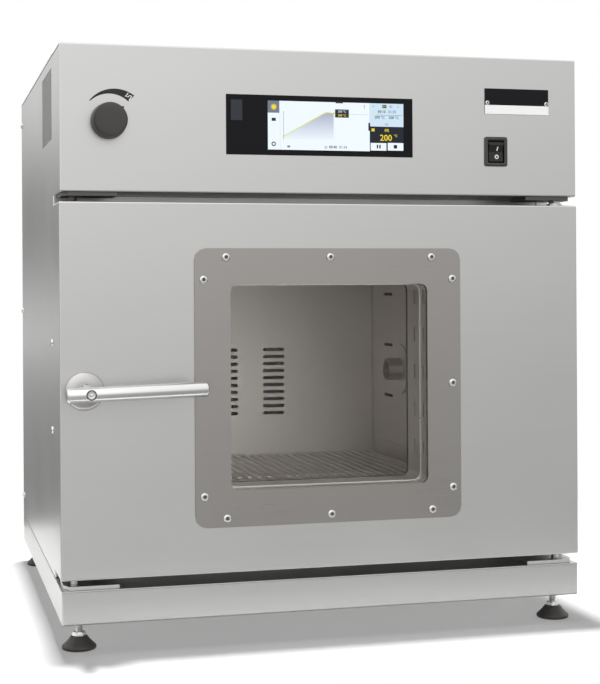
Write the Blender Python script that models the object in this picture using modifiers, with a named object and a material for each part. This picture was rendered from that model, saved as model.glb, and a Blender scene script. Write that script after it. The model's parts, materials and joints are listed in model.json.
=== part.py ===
"""Bench drying oven: double-walled case, hinged glazed door, fan-heated chamber.

Metres, +Z up. The front faces -Y. The origin lies on the bench, under the middle
of the whole object. Run it in Blender 4.5 to build one object for each sub-part.
"""
import math

import bmesh
import bpy
from mathutils import Matrix, Vector

# Case
CASE_WIDTH = 0.608
CASE_DEPTH = 0.570
CASE_HEIGHT = 0.634
SHEET = 0.0012
EDGE_RADIUS = 0.0016
TOUCH = 0.0003
OVERRUN = 0.004
SIDE_RETURN = 0.015
FASCIA_DEPTH = 0.080
PLINTH_HEIGHT = 0.0375
FASCIA_HEIGHT = 0.162
FRAME_SHEET = 0.0015
REAR_REACH = 0.030
REAR_ROOM = 0.160

# Door and its gaps
DOOR_OVERHANG = 0.001
DOOR_DEPTH = 0.0745
GAP_BELOW_DOOR = 0.011
GAP_ABOVE_DOOR = 0.0105
DOOR_PAN_FLANGE = 0.025
DOOR_WOOL_MARGIN = 0.030
GASKET_WIDTH = 0.010
GASKET_SETBACK = 0.006
GASKET_RADIUS = 0.014

# Window
WINDOW_WIDTH = 0.232
WINDOW_MARGIN = 0.035
WINDOW_RADIUS = 0.008
WINDOW_BAND = 0.0405
WINDOW_FRAME_RADIUS = 0.013
WINDOW_FRAME_SHEET = 0.002
GLASS_THICKNESS = 0.004
GLASS_LAP = 0.010
SPACER_SHEET = 0.0015
FRONT_SPACER_DEPTH = 0.0185
GLAZING_SEAL_THICKNESS = 0.0022
GLAZING_SEAL_LIP = 0.0012
SPACER_SLOT_LENGTH = 0.017
SPACER_SLOT_HEIGHT = 0.0035
SPACER_SLOT_HEAD = 0.0156
SPACER_SLOT_FOOT = 0.0378
SPACER_SLOT_COUNT = 5

# Hinges
HINGE_INSET = 0.0175
HINGE_SETBACK = 0.024
PIN_RADIUS = 0.004
PIN_REACH = 0.012
PIN_COLLAR_RADIUS = 0.0065
RUNNING_CLEARANCE = 0.0004
BUSH_RADIUS = 0.007
BUSH_LENGTH = 0.016
BUSH_FLANGE_RADIUS = 0.0095
BUSH_FLANGE_THICKNESS = 0.002
HINGE_PLATE_WIDTH = 0.060
HINGE_PLATE_DEPTH = 0.044
HINGE_PLATE_THICKNESS = 0.004
HINGE_PLATE_INSET = 0.003
HINGE_PLATE_CORNER = 0.012
SPARE_PEG_HEIGHT = 0.0045
SPARE_PEG_RADIUS = 0.0045

# Door handle and latch
HANDLE_INSET = 0.0265
HANDLE_STANDOFF = 0.060
HANDLE_RADIUS = 0.008
HANDLE_LENGTH = 0.150
HANDLE_TAIL = 0.0245
HANDLE_CHAMFER = 0.0012
HANDLE_SCREW_RADIUS = 0.0047
HANDLE_BOSS_RADIUS = 0.0086
HANDLE_LIFT_DEG = 1.5
ROSETTE_RADIUS = 0.021
ROSETTE_THICKNESS = 0.010
ROSETTE_RIM = 0.003
ROSETTE_DISH = 0.0015
SPINDLE_RADIUS = 0.006
LATCH_THICKNESS = 0.005
LATCH_WIDTH = 0.010
LATCH_REACH = 0.017
LATCH_SETBACK = 0.0025
LATCH_POCKET_DEPTH = 0.014
LATCH_CLEARANCE = 0.002
STRIKE_THICKNESS = 0.003
STRIKE_HEIGHT = 0.130

# Chamber, air path and shelf
CHAMBER_WIDTH = 0.360
CHAMBER_MARGIN = 0.0565
LINER_SHEET = 0.001
PLENUM_DEPTH = 0.045
REAR_WOOL_THICKNESS = 0.040
BAFFLE_SLOT_WIDTH = 0.031
BAFFLE_SLOT_HEIGHT = 0.0048
BAFFLE_SLOT_PITCH = 0.0099
BAFFLE_SLOT_ROWS = 10
BAFFLE_COLUMN_OFFSET = 0.0335
FAN_DROP_SHARE = 0.07
FAN_RADIUS_SHARE = 0.2
FAN_DEPTH = 0.016
FAN_DISC_THICKNESS = 0.002
FAN_HUB_RADIUS = 0.010
FAN_BLADE_COUNT = 12
FAN_BLADE_INNER_SHARE = 0.433
FAN_BLADE_THICKNESS = 0.0016
FAN_GAP = 0.008
FAN_SHAFT_RADIUS = 0.004
SHAFT_ROOM = 0.002
MOTOR_RADIUS_SHARE = 0.12
MOTOR_LENGTH = 0.052
MOTOR_PLATE_SHARE = 0.32
MOTOR_PLATE_THICKNESS = 0.003
HEATER_RING_SHARE = 0.273
HEATER_TUBE_RADIUS = 0.004
HEATER_GAP_DEG = 40
HEATER_TERMINAL_REACH = 0.010
SENSOR_RADIUS = 0.0025
SENSOR_OFFSET = 0.100
SENSOR_DROP = 0.015
SENSOR_REACH = 0.020
SENSOR_TAIL = 0.012
HOOK_SLOT_LENGTH = 0.037
HOOK_SLOT_HEIGHT = 0.004
HOOK_SLOT_ROWS = 4
HOOK_SLOT_LIFT = 0.041
HOOK_SLOT_HEAD = 0.049
HOOK_SLOT_INSET = 0.054
HOOK_CLEARANCE = 0.0015
SHELF_LIFT = 0.026
SHELF_SIDE_GAP = 0.006
SHELF_FRONT_GAP = 0.022
SHELF_BACK_GAP = 0.006
SHELF_RIM_RADIUS = 0.0024
SHELF_CORNER_RADIUS = 0.014
SHELF_WIRE_RADIUS = 0.0014
SHELF_WIRE_COUNT = 27
RAIL_WIDTH = 0.014
RAIL_THICKNESS = 0.0015
RAIL_LIP = 0.006
PORT_RADIUS = 0.015
PORT_SHEET = 0.0012
PORT_SETBACK_SHARE = 0.618
PORT_REACH = 0.019
PORT_FLANGE_RADIUS = 0.034
PORT_FLANGE_THICKNESS = 0.0015
PLUG_CLEARANCE = 0.0007
PLUG_LENGTH = 0.045
PLUG_HEAD_RADIUS = 0.020
PLUG_HEAD_THICKNESS = 0.001

# Vent knob, shaft, flap and exhaust duct
KNOB_INSET = 0.0535
KNOB_DROP = 0.0845
KNOB_RADIUS = 0.0199
KNOB_HEIGHT = 0.020
KNOB_TAPER = 0.0015
KNOB_CROWN = 0.0015
KNOB_TAB_WIDTH = 0.006
KNOB_TAB_REACH = 0.0015
KNOB_TAB_DEPTH = 0.004
KNOB_REST_DEG = 45
VENT_SHAFT_RADIUS = 0.004
DUCT_SIZE = 0.048
DUCT_TUBE_ROOM = 0.006
DUCT_TOP_GAP = 0.006
DUCT_TUBE_RADIUS = 0.016
DUCT_TUBE_SHEET = 0.001
DUCT_INLET_DROP = 0.040
FLAP_THICKNESS = 0.0015
FLAP_CLEARANCE = 0.0006
FLAP_HUB_RADIUS = 0.006

# Fascia fittings
DISPLAY_X = -0.0098
DISPLAY_WIDTH = 0.219
DISPLAY_HEIGHT = 0.067
DISPLAY_DROP = 0.085
DISPLAY_GLASS = 0.003
DISPLAY_PROUD = 0.0006
CONTROLLER_INSET = 0.008
CONTROLLER_DEPTH = 0.032
USB_COVER_WIDTH = 0.0133
USB_COVER_HEIGHT = 0.023
USB_COVER_THICKNESS = 0.0012
USB_COVER_SIDE = 0.0047
USB_COVER_DROP = 0.006
USB_RECESS_INSET = 0.0025
PLATE_INSET = 0.075
PLATE_WIDTH = 0.080
PLATE_HEIGHT = 0.0297
PLATE_DROP = 0.0512
PLATE_THICKNESS = 0.0008
SWITCH_INSET = 0.1015
SWITCH_DROP = 0.1102
SWITCH_WIDTH = 0.0285
SWITCH_HEIGHT = 0.0345
SWITCH_BEZEL_PROUD = 0.002
SWITCH_BODY_INSET = 0.0028
SWITCH_BODY_DEPTH = 0.024
SWITCH_WALL = 0.0012
ROCKER_CLEARANCE = 0.0005
ROCKER_SWING_DEG = 14
ROCKER_VEE = 0.0022
ROCKER_DEPTH = 0.006
ROCKER_POCKET_DEPTH = 0.018

# Electrical parts
BOARD_WIDTH = 0.150
BOARD_DEPTH = 0.100
BOARD_THICKNESS = 0.0016
BOARD_LIFT = 0.010
BOARD_X = 0.080
BOARD_SETBACK = 0.140
BOARD_POST_RADIUS = 0.004
BOARD_POST_INSET = 0.010
RELAY_WIDTH = 0.045
RELAY_DEPTH = 0.058
RELAY_HEIGHT = 0.030
INLET_INSET = 0.084
INLET_LIFT = 0.060
INLET_WIDTH = 0.048
INLET_HEIGHT = 0.030
INLET_FLANGE = 0.002
INLET_BODY_DEPTH = 0.022
INLET_BODY_INSET = 0.010
INLET_POCKET_WALL = 0.002
INLET_POCKET_DEPTH = 0.016
VENT_SLOT_WIDTH = 0.060
VENT_SLOT_HEIGHT = 0.004
VENT_SLOT_PITCH = 0.012
VENT_SLOT_ROWS = 7

# Levelling feet
FOOT_HEIGHT = 0.031
FOOT_RADIUS = 0.019
FOOT_RIM = 0.004
FOOT_CONE_HEIGHT = 0.015
FOOT_CONE_RADIUS = 0.010
STUD_RADIUS = 0.004
STUD_CLEARANCE = 0.0005
STUD_TOP_REACH = 0.016
NUT_RADIUS = 0.0075
NUT_HEIGHT = 0.005
LOCK_NUT_HEIGHT = 0.0045
FOOT_SIDE_INSET = 0.021
FOOT_FRONT_INSET = 0.026
FOOT_BACK_INSET = 0.034

ROUND_STEPS = 20
SMALL_STEPS = 12
WIRE_STEPS = 4
HEX_STEPS = 6
SMOOTH_DEG = 40
WELD_DISTANCE = 0.00001
OPEN_SIDE_SHARE = 0.5

# Places worked out from the sizes above
FRONT_REACH = HANDLE_STANDOFF + HANDLE_RADIUS
FRONT_Y = FRONT_REACH - (CASE_DEPTH + FRONT_REACH + REAR_REACH) / 2
BACK_Y = FRONT_Y + CASE_DEPTH
CASE_SIDE = CASE_WIDTH / 2
DOOR_SIDE = CASE_SIDE + DOOR_OVERHANG
PLINTH_LOW_Z = FOOT_HEIGHT
PLINTH_TOP_Z = PLINTH_LOW_Z + PLINTH_HEIGHT
CASE_TOP_Z = FOOT_HEIGHT + CASE_HEIGHT
FASCIA_LOW_Z = CASE_TOP_Z - FASCIA_HEIGHT
DOOR_LOW_Z = PLINTH_TOP_Z + GAP_BELOW_DOOR
DOOR_TOP_Z = FASCIA_LOW_Z - GAP_ABOVE_DOOR
DOOR_MID_Z = (DOOR_LOW_Z + DOOR_TOP_Z) / 2
DOOR_BACK_Y = FRONT_Y + DOOR_DEPTH
CASE_FRONT_Y = FRONT_Y + FASCIA_DEPTH
FRAME_FRONT_Y = CASE_FRONT_Y + SHEET + TOUCH
FRAME_BACK_Y = FRAME_FRONT_Y + FRAME_SHEET
LINER_FRONT_Y = FRAME_BACK_Y + TOUCH
BAFFLE_Y = BACK_Y - REAR_ROOM
LINER_BACK_Y = BAFFLE_Y + PLENUM_DEPTH
WOOL_BACK_Y = LINER_BACK_Y + TOUCH + REAR_WOOL_THICKNESS
SIDE_LOW_Z = PLINTH_TOP_Z + TOUCH
SIDE_TOP_Z = CASE_TOP_Z - SHEET - TOUCH
SIDE_BACK_Y = BACK_Y - SHEET - TOUCH
INNER_SIDE = CASE_SIDE - SHEET - TOUCH
FRAME_LOW_Z = SIDE_LOW_Z + SHEET + TOUCH
BAY_FLOOR_Z = FASCIA_LOW_Z
CHAMBER_SIDE = CHAMBER_WIDTH / 2
CHAMBER_LOW_Z = DOOR_LOW_Z + CHAMBER_MARGIN
CHAMBER_TOP_Z = DOOR_TOP_Z - CHAMBER_MARGIN
CHAMBER_HEIGHT = CHAMBER_TOP_Z - CHAMBER_LOW_Z
WINDOW_HEIGHT = CHAMBER_HEIGHT - 2 * WINDOW_MARGIN
HINGE_X = DOOR_SIDE - HINGE_INSET
HINGE_Y = FRONT_Y + HINGE_SETBACK
HANDLE_X = HANDLE_INSET - DOOR_SIDE
FAN_Z = DOOR_MID_Z - CHAMBER_HEIGHT * FAN_DROP_SHARE
FAN_RADIUS = CHAMBER_HEIGHT * FAN_RADIUS_SHARE
MOTOR_RADIUS = CHAMBER_HEIGHT * MOTOR_RADIUS_SHARE
HEATER_RING_RADIUS = CHAMBER_HEIGHT * HEATER_RING_SHARE
SHELF_Z = CHAMBER_LOW_Z + SHELF_LIFT
LOWEST_HOOK_Z = CHAMBER_LOW_Z + HOOK_SLOT_LIFT
HOOK_SLOT_PITCH = (CHAMBER_HEIGHT - HOOK_SLOT_LIFT - HOOK_SLOT_HEAD) / (HOOK_SLOT_ROWS - 1)
SPACER_SLOT_PITCH = (WINDOW_HEIGHT - SPACER_SLOT_HEAD - SPACER_SLOT_FOOT) / (SPACER_SLOT_COUNT - 1)
PORT_Y = CASE_FRONT_Y + (BAFFLE_Y - CASE_FRONT_Y) * PORT_SETBACK_SHARE
KNOB_X = KNOB_INSET - CASE_SIDE
KNOB_Z = CASE_TOP_Z - KNOB_DROP
PLATE_X = CASE_SIDE - PLATE_INSET
SWITCH_X = CASE_SIDE - SWITCH_INSET
INLET_X = CASE_SIDE - INLET_INSET
DUCT_Y = BAFFLE_Y + PLENUM_DEPTH / 2

# Finishes: colour, roughness and metallic value
STEEL = ((0.62, 0.62, 0.61), 0.32, 1.0)
DARK_STEEL = ((0.45, 0.44, 0.42), 0.35, 1.0)
LINER_STEEL = ((0.40, 0.39, 0.37), 0.40, 1.0)
BRIGHT_STEEL = ((0.78, 0.78, 0.78), 0.18, 1.0)
GALVANISED = ((0.55, 0.57, 0.58), 0.45, 0.9)
WOOL = ((0.72, 0.68, 0.55), 0.95, 0.0)
SILICONE = ((0.35, 0.12, 0.08), 0.60, 0.0)
CLEAR_GLASS = ((0.85, 0.90, 0.88), 0.04, 0.0)
BLACK_GLASS = ((0.01, 0.01, 0.012), 0.06, 0.0)
BLACK_PLASTIC = ((0.02, 0.02, 0.022), 0.45, 0.0)
GREY_PLASTIC = ((0.07, 0.07, 0.075), 0.50, 0.0)
BOARD_GREEN = ((0.03, 0.16, 0.06), 0.55, 0.0)
RUBBER = ((0.015, 0.015, 0.015), 0.75, 0.0)
MOTOR_GREY = ((0.28, 0.29, 0.30), 0.45, 0.4)


def new_collection(name):
    """Make a collection in the scene."""
    collection = bpy.data.collections.new(name)
    bpy.context.scene.collection.children.link(collection)
    return collection


def give_finish(obj, finish):
    """Give an object a material of its own."""
    colour, roughness, metallic = finish
    material = bpy.data.materials.new(obj.name + "_finish")
    material.use_nodes = True
    shader = material.node_tree.nodes["Principled BSDF"]
    shader.inputs["Base Color"].default_value = (*colour, 1.0)
    shader.inputs["Roughness"].default_value = roughness
    shader.inputs["Metallic"].default_value = metallic
    material.diffuse_color = (*colour, 1.0)
    obj.data.materials.clear()
    obj.data.materials.append(material)
    return obj


def object_from(name, mesh_data, finish=None, location=(0, 0, 0)):
    """Turn a bmesh into an object: a part with a finish, or a cutter without one."""
    mesh = bpy.data.meshes.new(name)
    mesh_data.to_mesh(mesh)
    mesh_data.free()
    mesh.shade_smooth()
    mesh.set_sharp_from_angle(angle=math.radians(SMOOTH_DEG))
    obj = bpy.data.objects.new(name, mesh)
    obj.location = location
    if finish:
        PARTS.objects.link(obj)
        give_finish(obj, finish)
    else:
        CUTTERS.objects.link(obj)
        obj.hide_render = True
        obj.display_type = "WIRE"
    return obj


def box(name, low, high, finish=None):
    """A box between two corners."""
    low, high = Vector(low), Vector(high)
    mesh_data = bmesh.new()
    bmesh.ops.create_cube(mesh_data, size=1)
    bmesh.ops.scale(mesh_data, vec=high - low, verts=mesh_data.verts)
    return object_from(name, mesh_data, finish, (low + high) / 2)


def tray(name, low, high, open_side, sheet, finish, radius=EDGE_RADIUS):
    """A folded sheet tray: a box without the side that open_side points to."""
    low, high, open_side = Vector(low), Vector(high), Vector(open_side)
    mesh_data = bmesh.new()
    bmesh.ops.create_cube(mesh_data, size=1)
    bmesh.ops.scale(mesh_data, vec=high - low, verts=mesh_data.verts)
    mesh_data.normal_update()
    opened = [face for face in mesh_data.faces if face.normal.dot(open_side) > OPEN_SIDE_SHARE]
    bmesh.ops.delete(mesh_data, geom=opened, context="FACES_ONLY")
    if radius:
        folds = [edge for edge in mesh_data.edges if not edge.is_boundary]
        bmesh.ops.bevel(mesh_data, geom=folds, offset=radius, segments=2,
                        profile=0.5, affect="EDGES", clamp_overlap=True)
    obj = object_from(name, mesh_data, finish, (low + high) / 2)
    shell = obj.modifiers.new("sheet", "SOLIDIFY")
    shell.thickness = sheet
    shell.offset = -1
    shell.use_even_offset = True
    return obj


def rod(name, centre, radius, length, axis, finish=None, steps=ROUND_STEPS):
    """A straight round rod along X, Y or Z, about its centre."""
    mesh_data = bmesh.new()
    bmesh.ops.create_cone(mesh_data, cap_ends=True, segments=steps,
                          radius1=radius, radius2=radius, depth=length)
    turn = Vector((0, 0, 1)).rotation_difference(Vector(axis)).to_matrix()
    bmesh.ops.rotate(mesh_data, matrix=turn, verts=mesh_data.verts)
    return object_from(name, mesh_data, finish, centre)


def span_rod(name, start, end, radius, finish=None, steps=ROUND_STEPS):
    """A rod between two points on a line along one axis."""
    start, end = Vector(start), Vector(end)
    return rod(name, (start + end) / 2, radius, (end - start).length,
               (end - start).normalized(), finish, steps)


def turned(name, profile, place, axis, finish, steps=ROUND_STEPS):
    """A turned piece: (radius, height) pairs from top to base, a closed loop round a bore."""
    mesh = bpy.data.meshes.new(name)
    points = [(radius, 0, height) for radius, height in profile]
    edges = [(i, i + 1) for i in range(len(points) - 1)]
    if profile[0][0] > 0:
        edges.append((len(points) - 1, 0))
    mesh.from_pydata(points, edges, [])
    obj = bpy.data.objects.new(name, mesh)
    obj.location = place
    obj.rotation_euler = Vector((0, 0, 1)).rotation_difference(Vector(axis)).to_euler()
    PARTS.objects.link(obj)
    give_finish(obj, finish)
    screw = obj.modifiers.new("turn", "SCREW")
    screw.steps = steps
    screw.render_steps = steps
    screw.use_merge_vertices = True
    screw.merge_threshold = WELD_DISTANCE
    return obj


def rounded_outline(width, height, radius, corner_steps=3):
    """Corner points of a rounded rectangle about the origin, anticlockwise."""
    points = []
    for quarter, (side_x, side_z) in enumerate(((1, 1), (-1, 1), (-1, -1), (1, -1))):
        centre_x = side_x * (width / 2 - radius)
        centre_z = side_z * (height / 2 - radius)
        for step in range(corner_steps + 1):
            angle = math.radians(90) * (quarter + step / corner_steps)
            points.append((centre_x + radius * math.cos(angle),
                           centre_z + radius * math.sin(angle)))
    return points


def flat_plate(name, outlines, thickness, matrix, finish=None):
    """A filled outline with a thickness, placed by a matrix; further outlines are holes."""
    curve = bpy.data.curves.new(name + "_outline", "CURVE")
    curve.dimensions = "2D"
    curve.fill_mode = "BOTH"
    curve.extrude = thickness / 2
    for outline in outlines:
        spline = curve.splines.new("POLY")
        spline.points.add(len(outline) - 1)
        for point, (x, y) in zip(spline.points, outline):
            point.co = (x, y, 0, 1)
        spline.use_cyclic_u = True
    drawn = bpy.data.objects.new(name + "_drawn", curve)
    bpy.context.scene.collection.objects.link(drawn)
    return meshed(name, drawn, matrix, finish)


def slab(name, outlines, low_y, high_y, centre_x, centre_z, finish=None):
    """A flat plate that faces the front, between two depths."""
    place = Matrix.Translation((centre_x, (low_y + high_y) / 2, centre_z))
    upright = Matrix.Rotation(math.radians(90), 4, "X")
    return flat_plate(name, outlines, high_y - low_y, place @ upright, finish)


def meshed(name, drawn, matrix, finish=None):
    """Turn a curve object into a welded mesh object, and remove the curve."""
    bpy.context.view_layer.update()
    evaluated = drawn.evaluated_get(bpy.context.evaluated_depsgraph_get())
    mesh = bpy.data.meshes.new_from_object(evaluated)
    mesh_data = bmesh.new()
    mesh_data.from_mesh(mesh)
    bmesh.ops.remove_doubles(mesh_data, verts=mesh_data.verts, dist=WELD_DISTANCE)
    bmesh.ops.recalc_face_normals(mesh_data, faces=mesh_data.faces)
    bpy.data.objects.remove(drawn)
    obj = object_from(name, mesh_data, finish)
    obj.matrix_world = matrix
    return obj


def bent_tube(name, points, radius, finish, closed=False, sides=1):
    """A round tube or wire along a list of points."""
    curve = bpy.data.curves.new(name + "_line", "CURVE")
    curve.dimensions = "3D"
    curve.bevel_depth = radius
    curve.bevel_resolution = sides
    curve.use_fill_caps = not closed
    spline = curve.splines.new("POLY")
    spline.points.add(len(points) - 1)
    for point, place in zip(spline.points, points):
        point.co = (*place, 1)
    spline.use_cyclic_u = closed
    drawn = bpy.data.objects.new(name + "_drawn", curve)
    bpy.context.scene.collection.objects.link(drawn)
    return meshed(name, drawn, Matrix.Identity(4), finish)


def joined(name, pieces):
    """Join cutters that don't touch each other into one cutter object."""
    mesh_data = bmesh.new()
    bpy.context.view_layer.update()
    for piece in pieces:
        part = piece.data.copy()
        part.transform(piece.matrix_world)
        mesh_data.from_mesh(part)
        bpy.data.objects.remove(piece)
    return object_from(name, mesh_data)


def combine(obj, tool, operation):
    """Add a Boolean with a cutter or an added shape."""
    modifier = obj.modifiers.new(tool.name, "BOOLEAN")
    modifier.operation = operation
    modifier.solver = "EXACT"
    modifier.object = tool
    return obj


def cut(obj, tool):
    return combine(obj, tool, "DIFFERENCE")


def add(obj, tool):
    return combine(obj, tool, "UNION")


def round_off(obj, width, segments=2):
    """Round the edges of a piece."""
    bevel = obj.modifiers.new("rounded_edges", "BEVEL")
    bevel.width = width
    bevel.segments = segments
    bevel.limit_method = "ANGLE"
    return obj


def carry(pivot_name, place, pieces, parent=None):
    """Parent pieces to an empty on their joint's axis, where they are."""
    pivot = bpy.data.objects.new(pivot_name, None)
    pivot.location = place
    PARTS.objects.link(pivot)
    if parent:
        pivot.parent = parent
        pivot.matrix_parent_inverse = Matrix.Translation(-parent.matrix_world.translation)
    bpy.context.view_layer.update()
    for piece in pieces:
        piece.parent = pivot
        piece.matrix_parent_inverse = Matrix.Translation(-Vector(pivot.matrix_world.translation))
    return pivot


def spread(count, pitch):
    """Places of a row of copies about zero."""
    return [(i - (count - 1) / 2) * pitch for i in range(count)]


def build_plinth():
    """The base tray, its cover plate and the four levelling feet."""
    plinth = tray("plinth", (-CASE_SIDE, FRONT_Y, PLINTH_LOW_Z),
                  (CASE_SIDE, BACK_Y, PLINTH_TOP_Z - SHEET - TOUCH), (0, 0, 1), SHEET, STEEL)
    box("floor_panel", (-CASE_SIDE, FRONT_Y, PLINTH_TOP_Z - SHEET),
        (CASE_SIDE, BACK_Y, PLINTH_TOP_Z), STEEL)
    holes = []
    for side_name, x in (("left", FOOT_SIDE_INSET - CASE_SIDE), ("right", CASE_SIDE - FOOT_SIDE_INSET)):
        for end_name, y in (("front", FRONT_Y + FOOT_FRONT_INSET), ("back", BACK_Y - FOOT_BACK_INSET)):
            foot = build_foot("foot_" + end_name + "_" + side_name, x, y)
            carry("pivot_" + foot.name, (x, y, 0), [foot])
            holes.append(rod("hole", (x, y, PLINTH_LOW_Z), STUD_RADIUS + STUD_CLEARANCE,
                             SHEET + OVERRUN, (0, 0, 1), steps=SMALL_STEPS))
    cut(plinth, joined("stud_holes", holes))


def build_foot(name, x, y):
    """A conical foot with its stud, a hex nut on the cone and a lock nut under the plinth."""
    stud_top = PLINTH_LOW_Z + STUD_TOP_REACH
    foot = turned(name, [(0, stud_top), (STUD_RADIUS, stud_top), (STUD_RADIUS, FOOT_CONE_HEIGHT),
                         (FOOT_CONE_RADIUS, FOOT_CONE_HEIGHT), (FOOT_RADIUS, FOOT_RIM),
                         (FOOT_RADIUS, 0), (0, 0)], (x, y, 0), (0, 0, 1), RUBBER, SMALL_STEPS)
    nut_z = FOOT_CONE_HEIGHT + NUT_HEIGHT / 2
    add(foot, rod(name + "_nut", (x, y, nut_z), NUT_RADIUS, NUT_HEIGHT + TOUCH, (0, 0, 1), steps=HEX_STEPS))
    lock_z = PLINTH_LOW_Z - TOUCH - LOCK_NUT_HEIGHT / 2
    add(foot, rod(name + "_lock", (x, y, lock_z), NUT_RADIUS, LOCK_NUT_HEIGHT, (0, 0, 1), steps=HEX_STEPS))
    return foot


def build_case():
    """Side panels, top cover, rear panel, control bay floor and front frame."""
    left = tray("left_side_panel", (-CASE_SIDE, CASE_FRONT_Y, SIDE_LOW_Z),
                (SIDE_RETURN - CASE_SIDE, SIDE_BACK_Y, SIDE_TOP_Z), (1, 0, 0), SHEET, STEEL)
    cut(left, latch_cutter("panel_latch_notch"))
    right = tray("right_side_panel", (CASE_SIDE - SIDE_RETURN, CASE_FRONT_Y, SIDE_LOW_Z),
                 (CASE_SIDE, SIDE_BACK_Y, SIDE_TOP_Z), (-1, 0, 0), SHEET, STEEL)
    cut(right, rod("port_panel_hole", (CASE_SIDE, PORT_Y, DOOR_MID_Z), PORT_RADIUS + 2 * TOUCH,
                   SHEET + OVERRUN, (1, 0, 0)))
    box("top_cover", (-CASE_SIDE, CASE_FRONT_Y + TOUCH, CASE_TOP_Z - SHEET),
        (CASE_SIDE, BACK_Y, CASE_TOP_Z), STEEL)
    build_rear_panel()
    bay = box("control_bay_floor", (-INNER_SIDE, CASE_FRONT_Y + SHEET + TOUCH, BAY_FLOOR_Z),
              (INNER_SIDE, SIDE_BACK_Y - SHEET - TOUCH, BAY_FLOOR_Z + SHEET), GALVANISED)
    cut(bay, duct_cutter("bay_duct_hole"))
    frame = box("front_frame", (-INNER_SIDE, FRAME_FRONT_Y, FRAME_LOW_Z),
                (INNER_SIDE, FRAME_BACK_Y, BAY_FLOOR_Z - TOUCH), STEEL)
    cut(frame, box("mouth", (-CHAMBER_SIDE, FRAME_FRONT_Y - OVERRUN, CHAMBER_LOW_Z),
                   (CHAMBER_SIDE, FRAME_BACK_Y + OVERRUN, CHAMBER_TOP_Z)))
    cut(frame, latch_cutter("latch_window"))


def duct_cutter(name):
    """Room for the vertical exhaust duct in what it passes through."""
    half = DUCT_SIZE / 2 + 2 * TOUCH
    return box(name, (KNOB_X - half, DUCT_Y - half, duct_low_z() - 2 * TOUCH),
               (KNOB_X + half, DUCT_Y + half, CASE_TOP_Z))


def latch_cutter(name):
    """Room for the latch tongue to turn in, through the front frame and behind it."""
    half = LATCH_REACH + LATCH_CLEARANCE
    return box(name, (HANDLE_X - half, CASE_FRONT_Y - OVERRUN, DOOR_MID_Z - half),
               (HANDLE_X + half, FRAME_FRONT_Y + LATCH_POCKET_DEPTH, DOOR_MID_Z + half))


def build_rear_panel():
    """The rear panel with motor vents, the exhaust hole and the inlet cut-out."""
    rear = box("rear_panel", (-CASE_SIDE, BACK_Y - SHEET, SIDE_LOW_Z),
               (CASE_SIDE, BACK_Y, SIDE_TOP_Z), STEEL)
    slots = []
    for z in spread(VENT_SLOT_ROWS, VENT_SLOT_PITCH):
        slots.append(box("slot", (-VENT_SLOT_WIDTH / 2, BACK_Y - SHEET - OVERRUN,
                                  FAN_Z + z - VENT_SLOT_HEIGHT / 2),
                         (VENT_SLOT_WIDTH / 2, BACK_Y + OVERRUN, FAN_Z + z + VENT_SLOT_HEIGHT / 2)))
    cut(rear, joined("motor_vents", slots))
    cut(rear, rod("exhaust_hole", (KNOB_X, BACK_Y, exhaust_z()), DUCT_TUBE_RADIUS + 2 * TOUCH,
                  2 * OVERRUN, (0, 1, 0)))
    inlet_z = SIDE_LOW_Z + INLET_LIFT
    half_width = INLET_WIDTH / 2 - INLET_BODY_INSET + 2 * TOUCH
    half_height = INLET_HEIGHT / 2 - INLET_POCKET_WALL + 2 * TOUCH
    cut(rear, box("inlet_hole", (INLET_X - half_width, BACK_Y - 2 * OVERRUN, inlet_z - half_height),
                  (INLET_X + half_width, BACK_Y + OVERRUN, inlet_z + half_height)))


def exhaust_z():
    """Height of the tube that leaves the duct's top for the rear."""
    return SIDE_TOP_Z - DUCT_TOP_GAP - SHEET - OVERRUN - DUCT_TUBE_RADIUS


def build_chamber():
    """The chamber's liner, its air baffle, the shelf runners and the wool around it."""
    outer = CHAMBER_SIDE + LINER_SHEET
    low = CHAMBER_LOW_Z - LINER_SHEET
    top = CHAMBER_TOP_Z + LINER_SHEET
    liner = tray("chamber_liner", (-outer, LINER_FRONT_Y, low), (outer, LINER_BACK_Y, top),
                 (0, -1, 0), LINER_SHEET, LINER_STEEL, radius=0)
    cut(liner, joined("hook_slots", hook_slot_cutters()))
    cut(liner, through_back("shaft_hole", 0, FAN_Z, FAN_SHAFT_RADIUS + SHAFT_ROOM))
    cut(liner, joined("element_holes", heater_leg_cutters()))
    cut(liner, sensor_cutter("liner_sensor_hole"))
    cut(liner, port_cutter("liner_port_hole"))
    cut(liner, exhaust_inlet_cutter("liner_exhaust_hole"))
    build_baffle()
    build_wool()
    for name, side in (("shelf_rail_left", -1), ("shelf_rail_right", 1)):
        build_rail(name, side)


def hook_slot_cutters():
    """Slots in both side walls that the shelf runners hook into, front and rear."""
    slots = []
    rows = [LOWEST_HOOK_Z + row * HOOK_SLOT_PITCH for row in range(HOOK_SLOT_ROWS)]
    for side in (-1, 1):
        x_low, x_high = sorted((side * (CHAMBER_SIDE - OVERRUN / 4), side * (CHAMBER_SIDE + OVERRUN)))
        for z in rows:
            for start, end in hook_spans():
                slots.append(box("slot", (x_low, start, z - HOOK_SLOT_HEIGHT / 2),
                                 (x_high, end, z + HOOK_SLOT_HEIGHT / 2)))
    return slots


def hook_spans():
    """Where a row's front and rear slots start and end, from front to back."""
    front = LINER_FRONT_Y + HOOK_SLOT_INSET
    back = BAFFLE_Y - HOOK_SLOT_INSET
    return (front, front + HOOK_SLOT_LENGTH), (back - HOOK_SLOT_LENGTH, back)


def through_back(name, x, z, radius):
    """A round cutter through the liner's back and the wool behind it."""
    return span_rod(name, (x, LINER_BACK_Y - LINER_SHEET - OVERRUN, z), (x, WOOL_BACK_Y + OVERRUN, z),
                    radius, steps=SMALL_STEPS)


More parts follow.
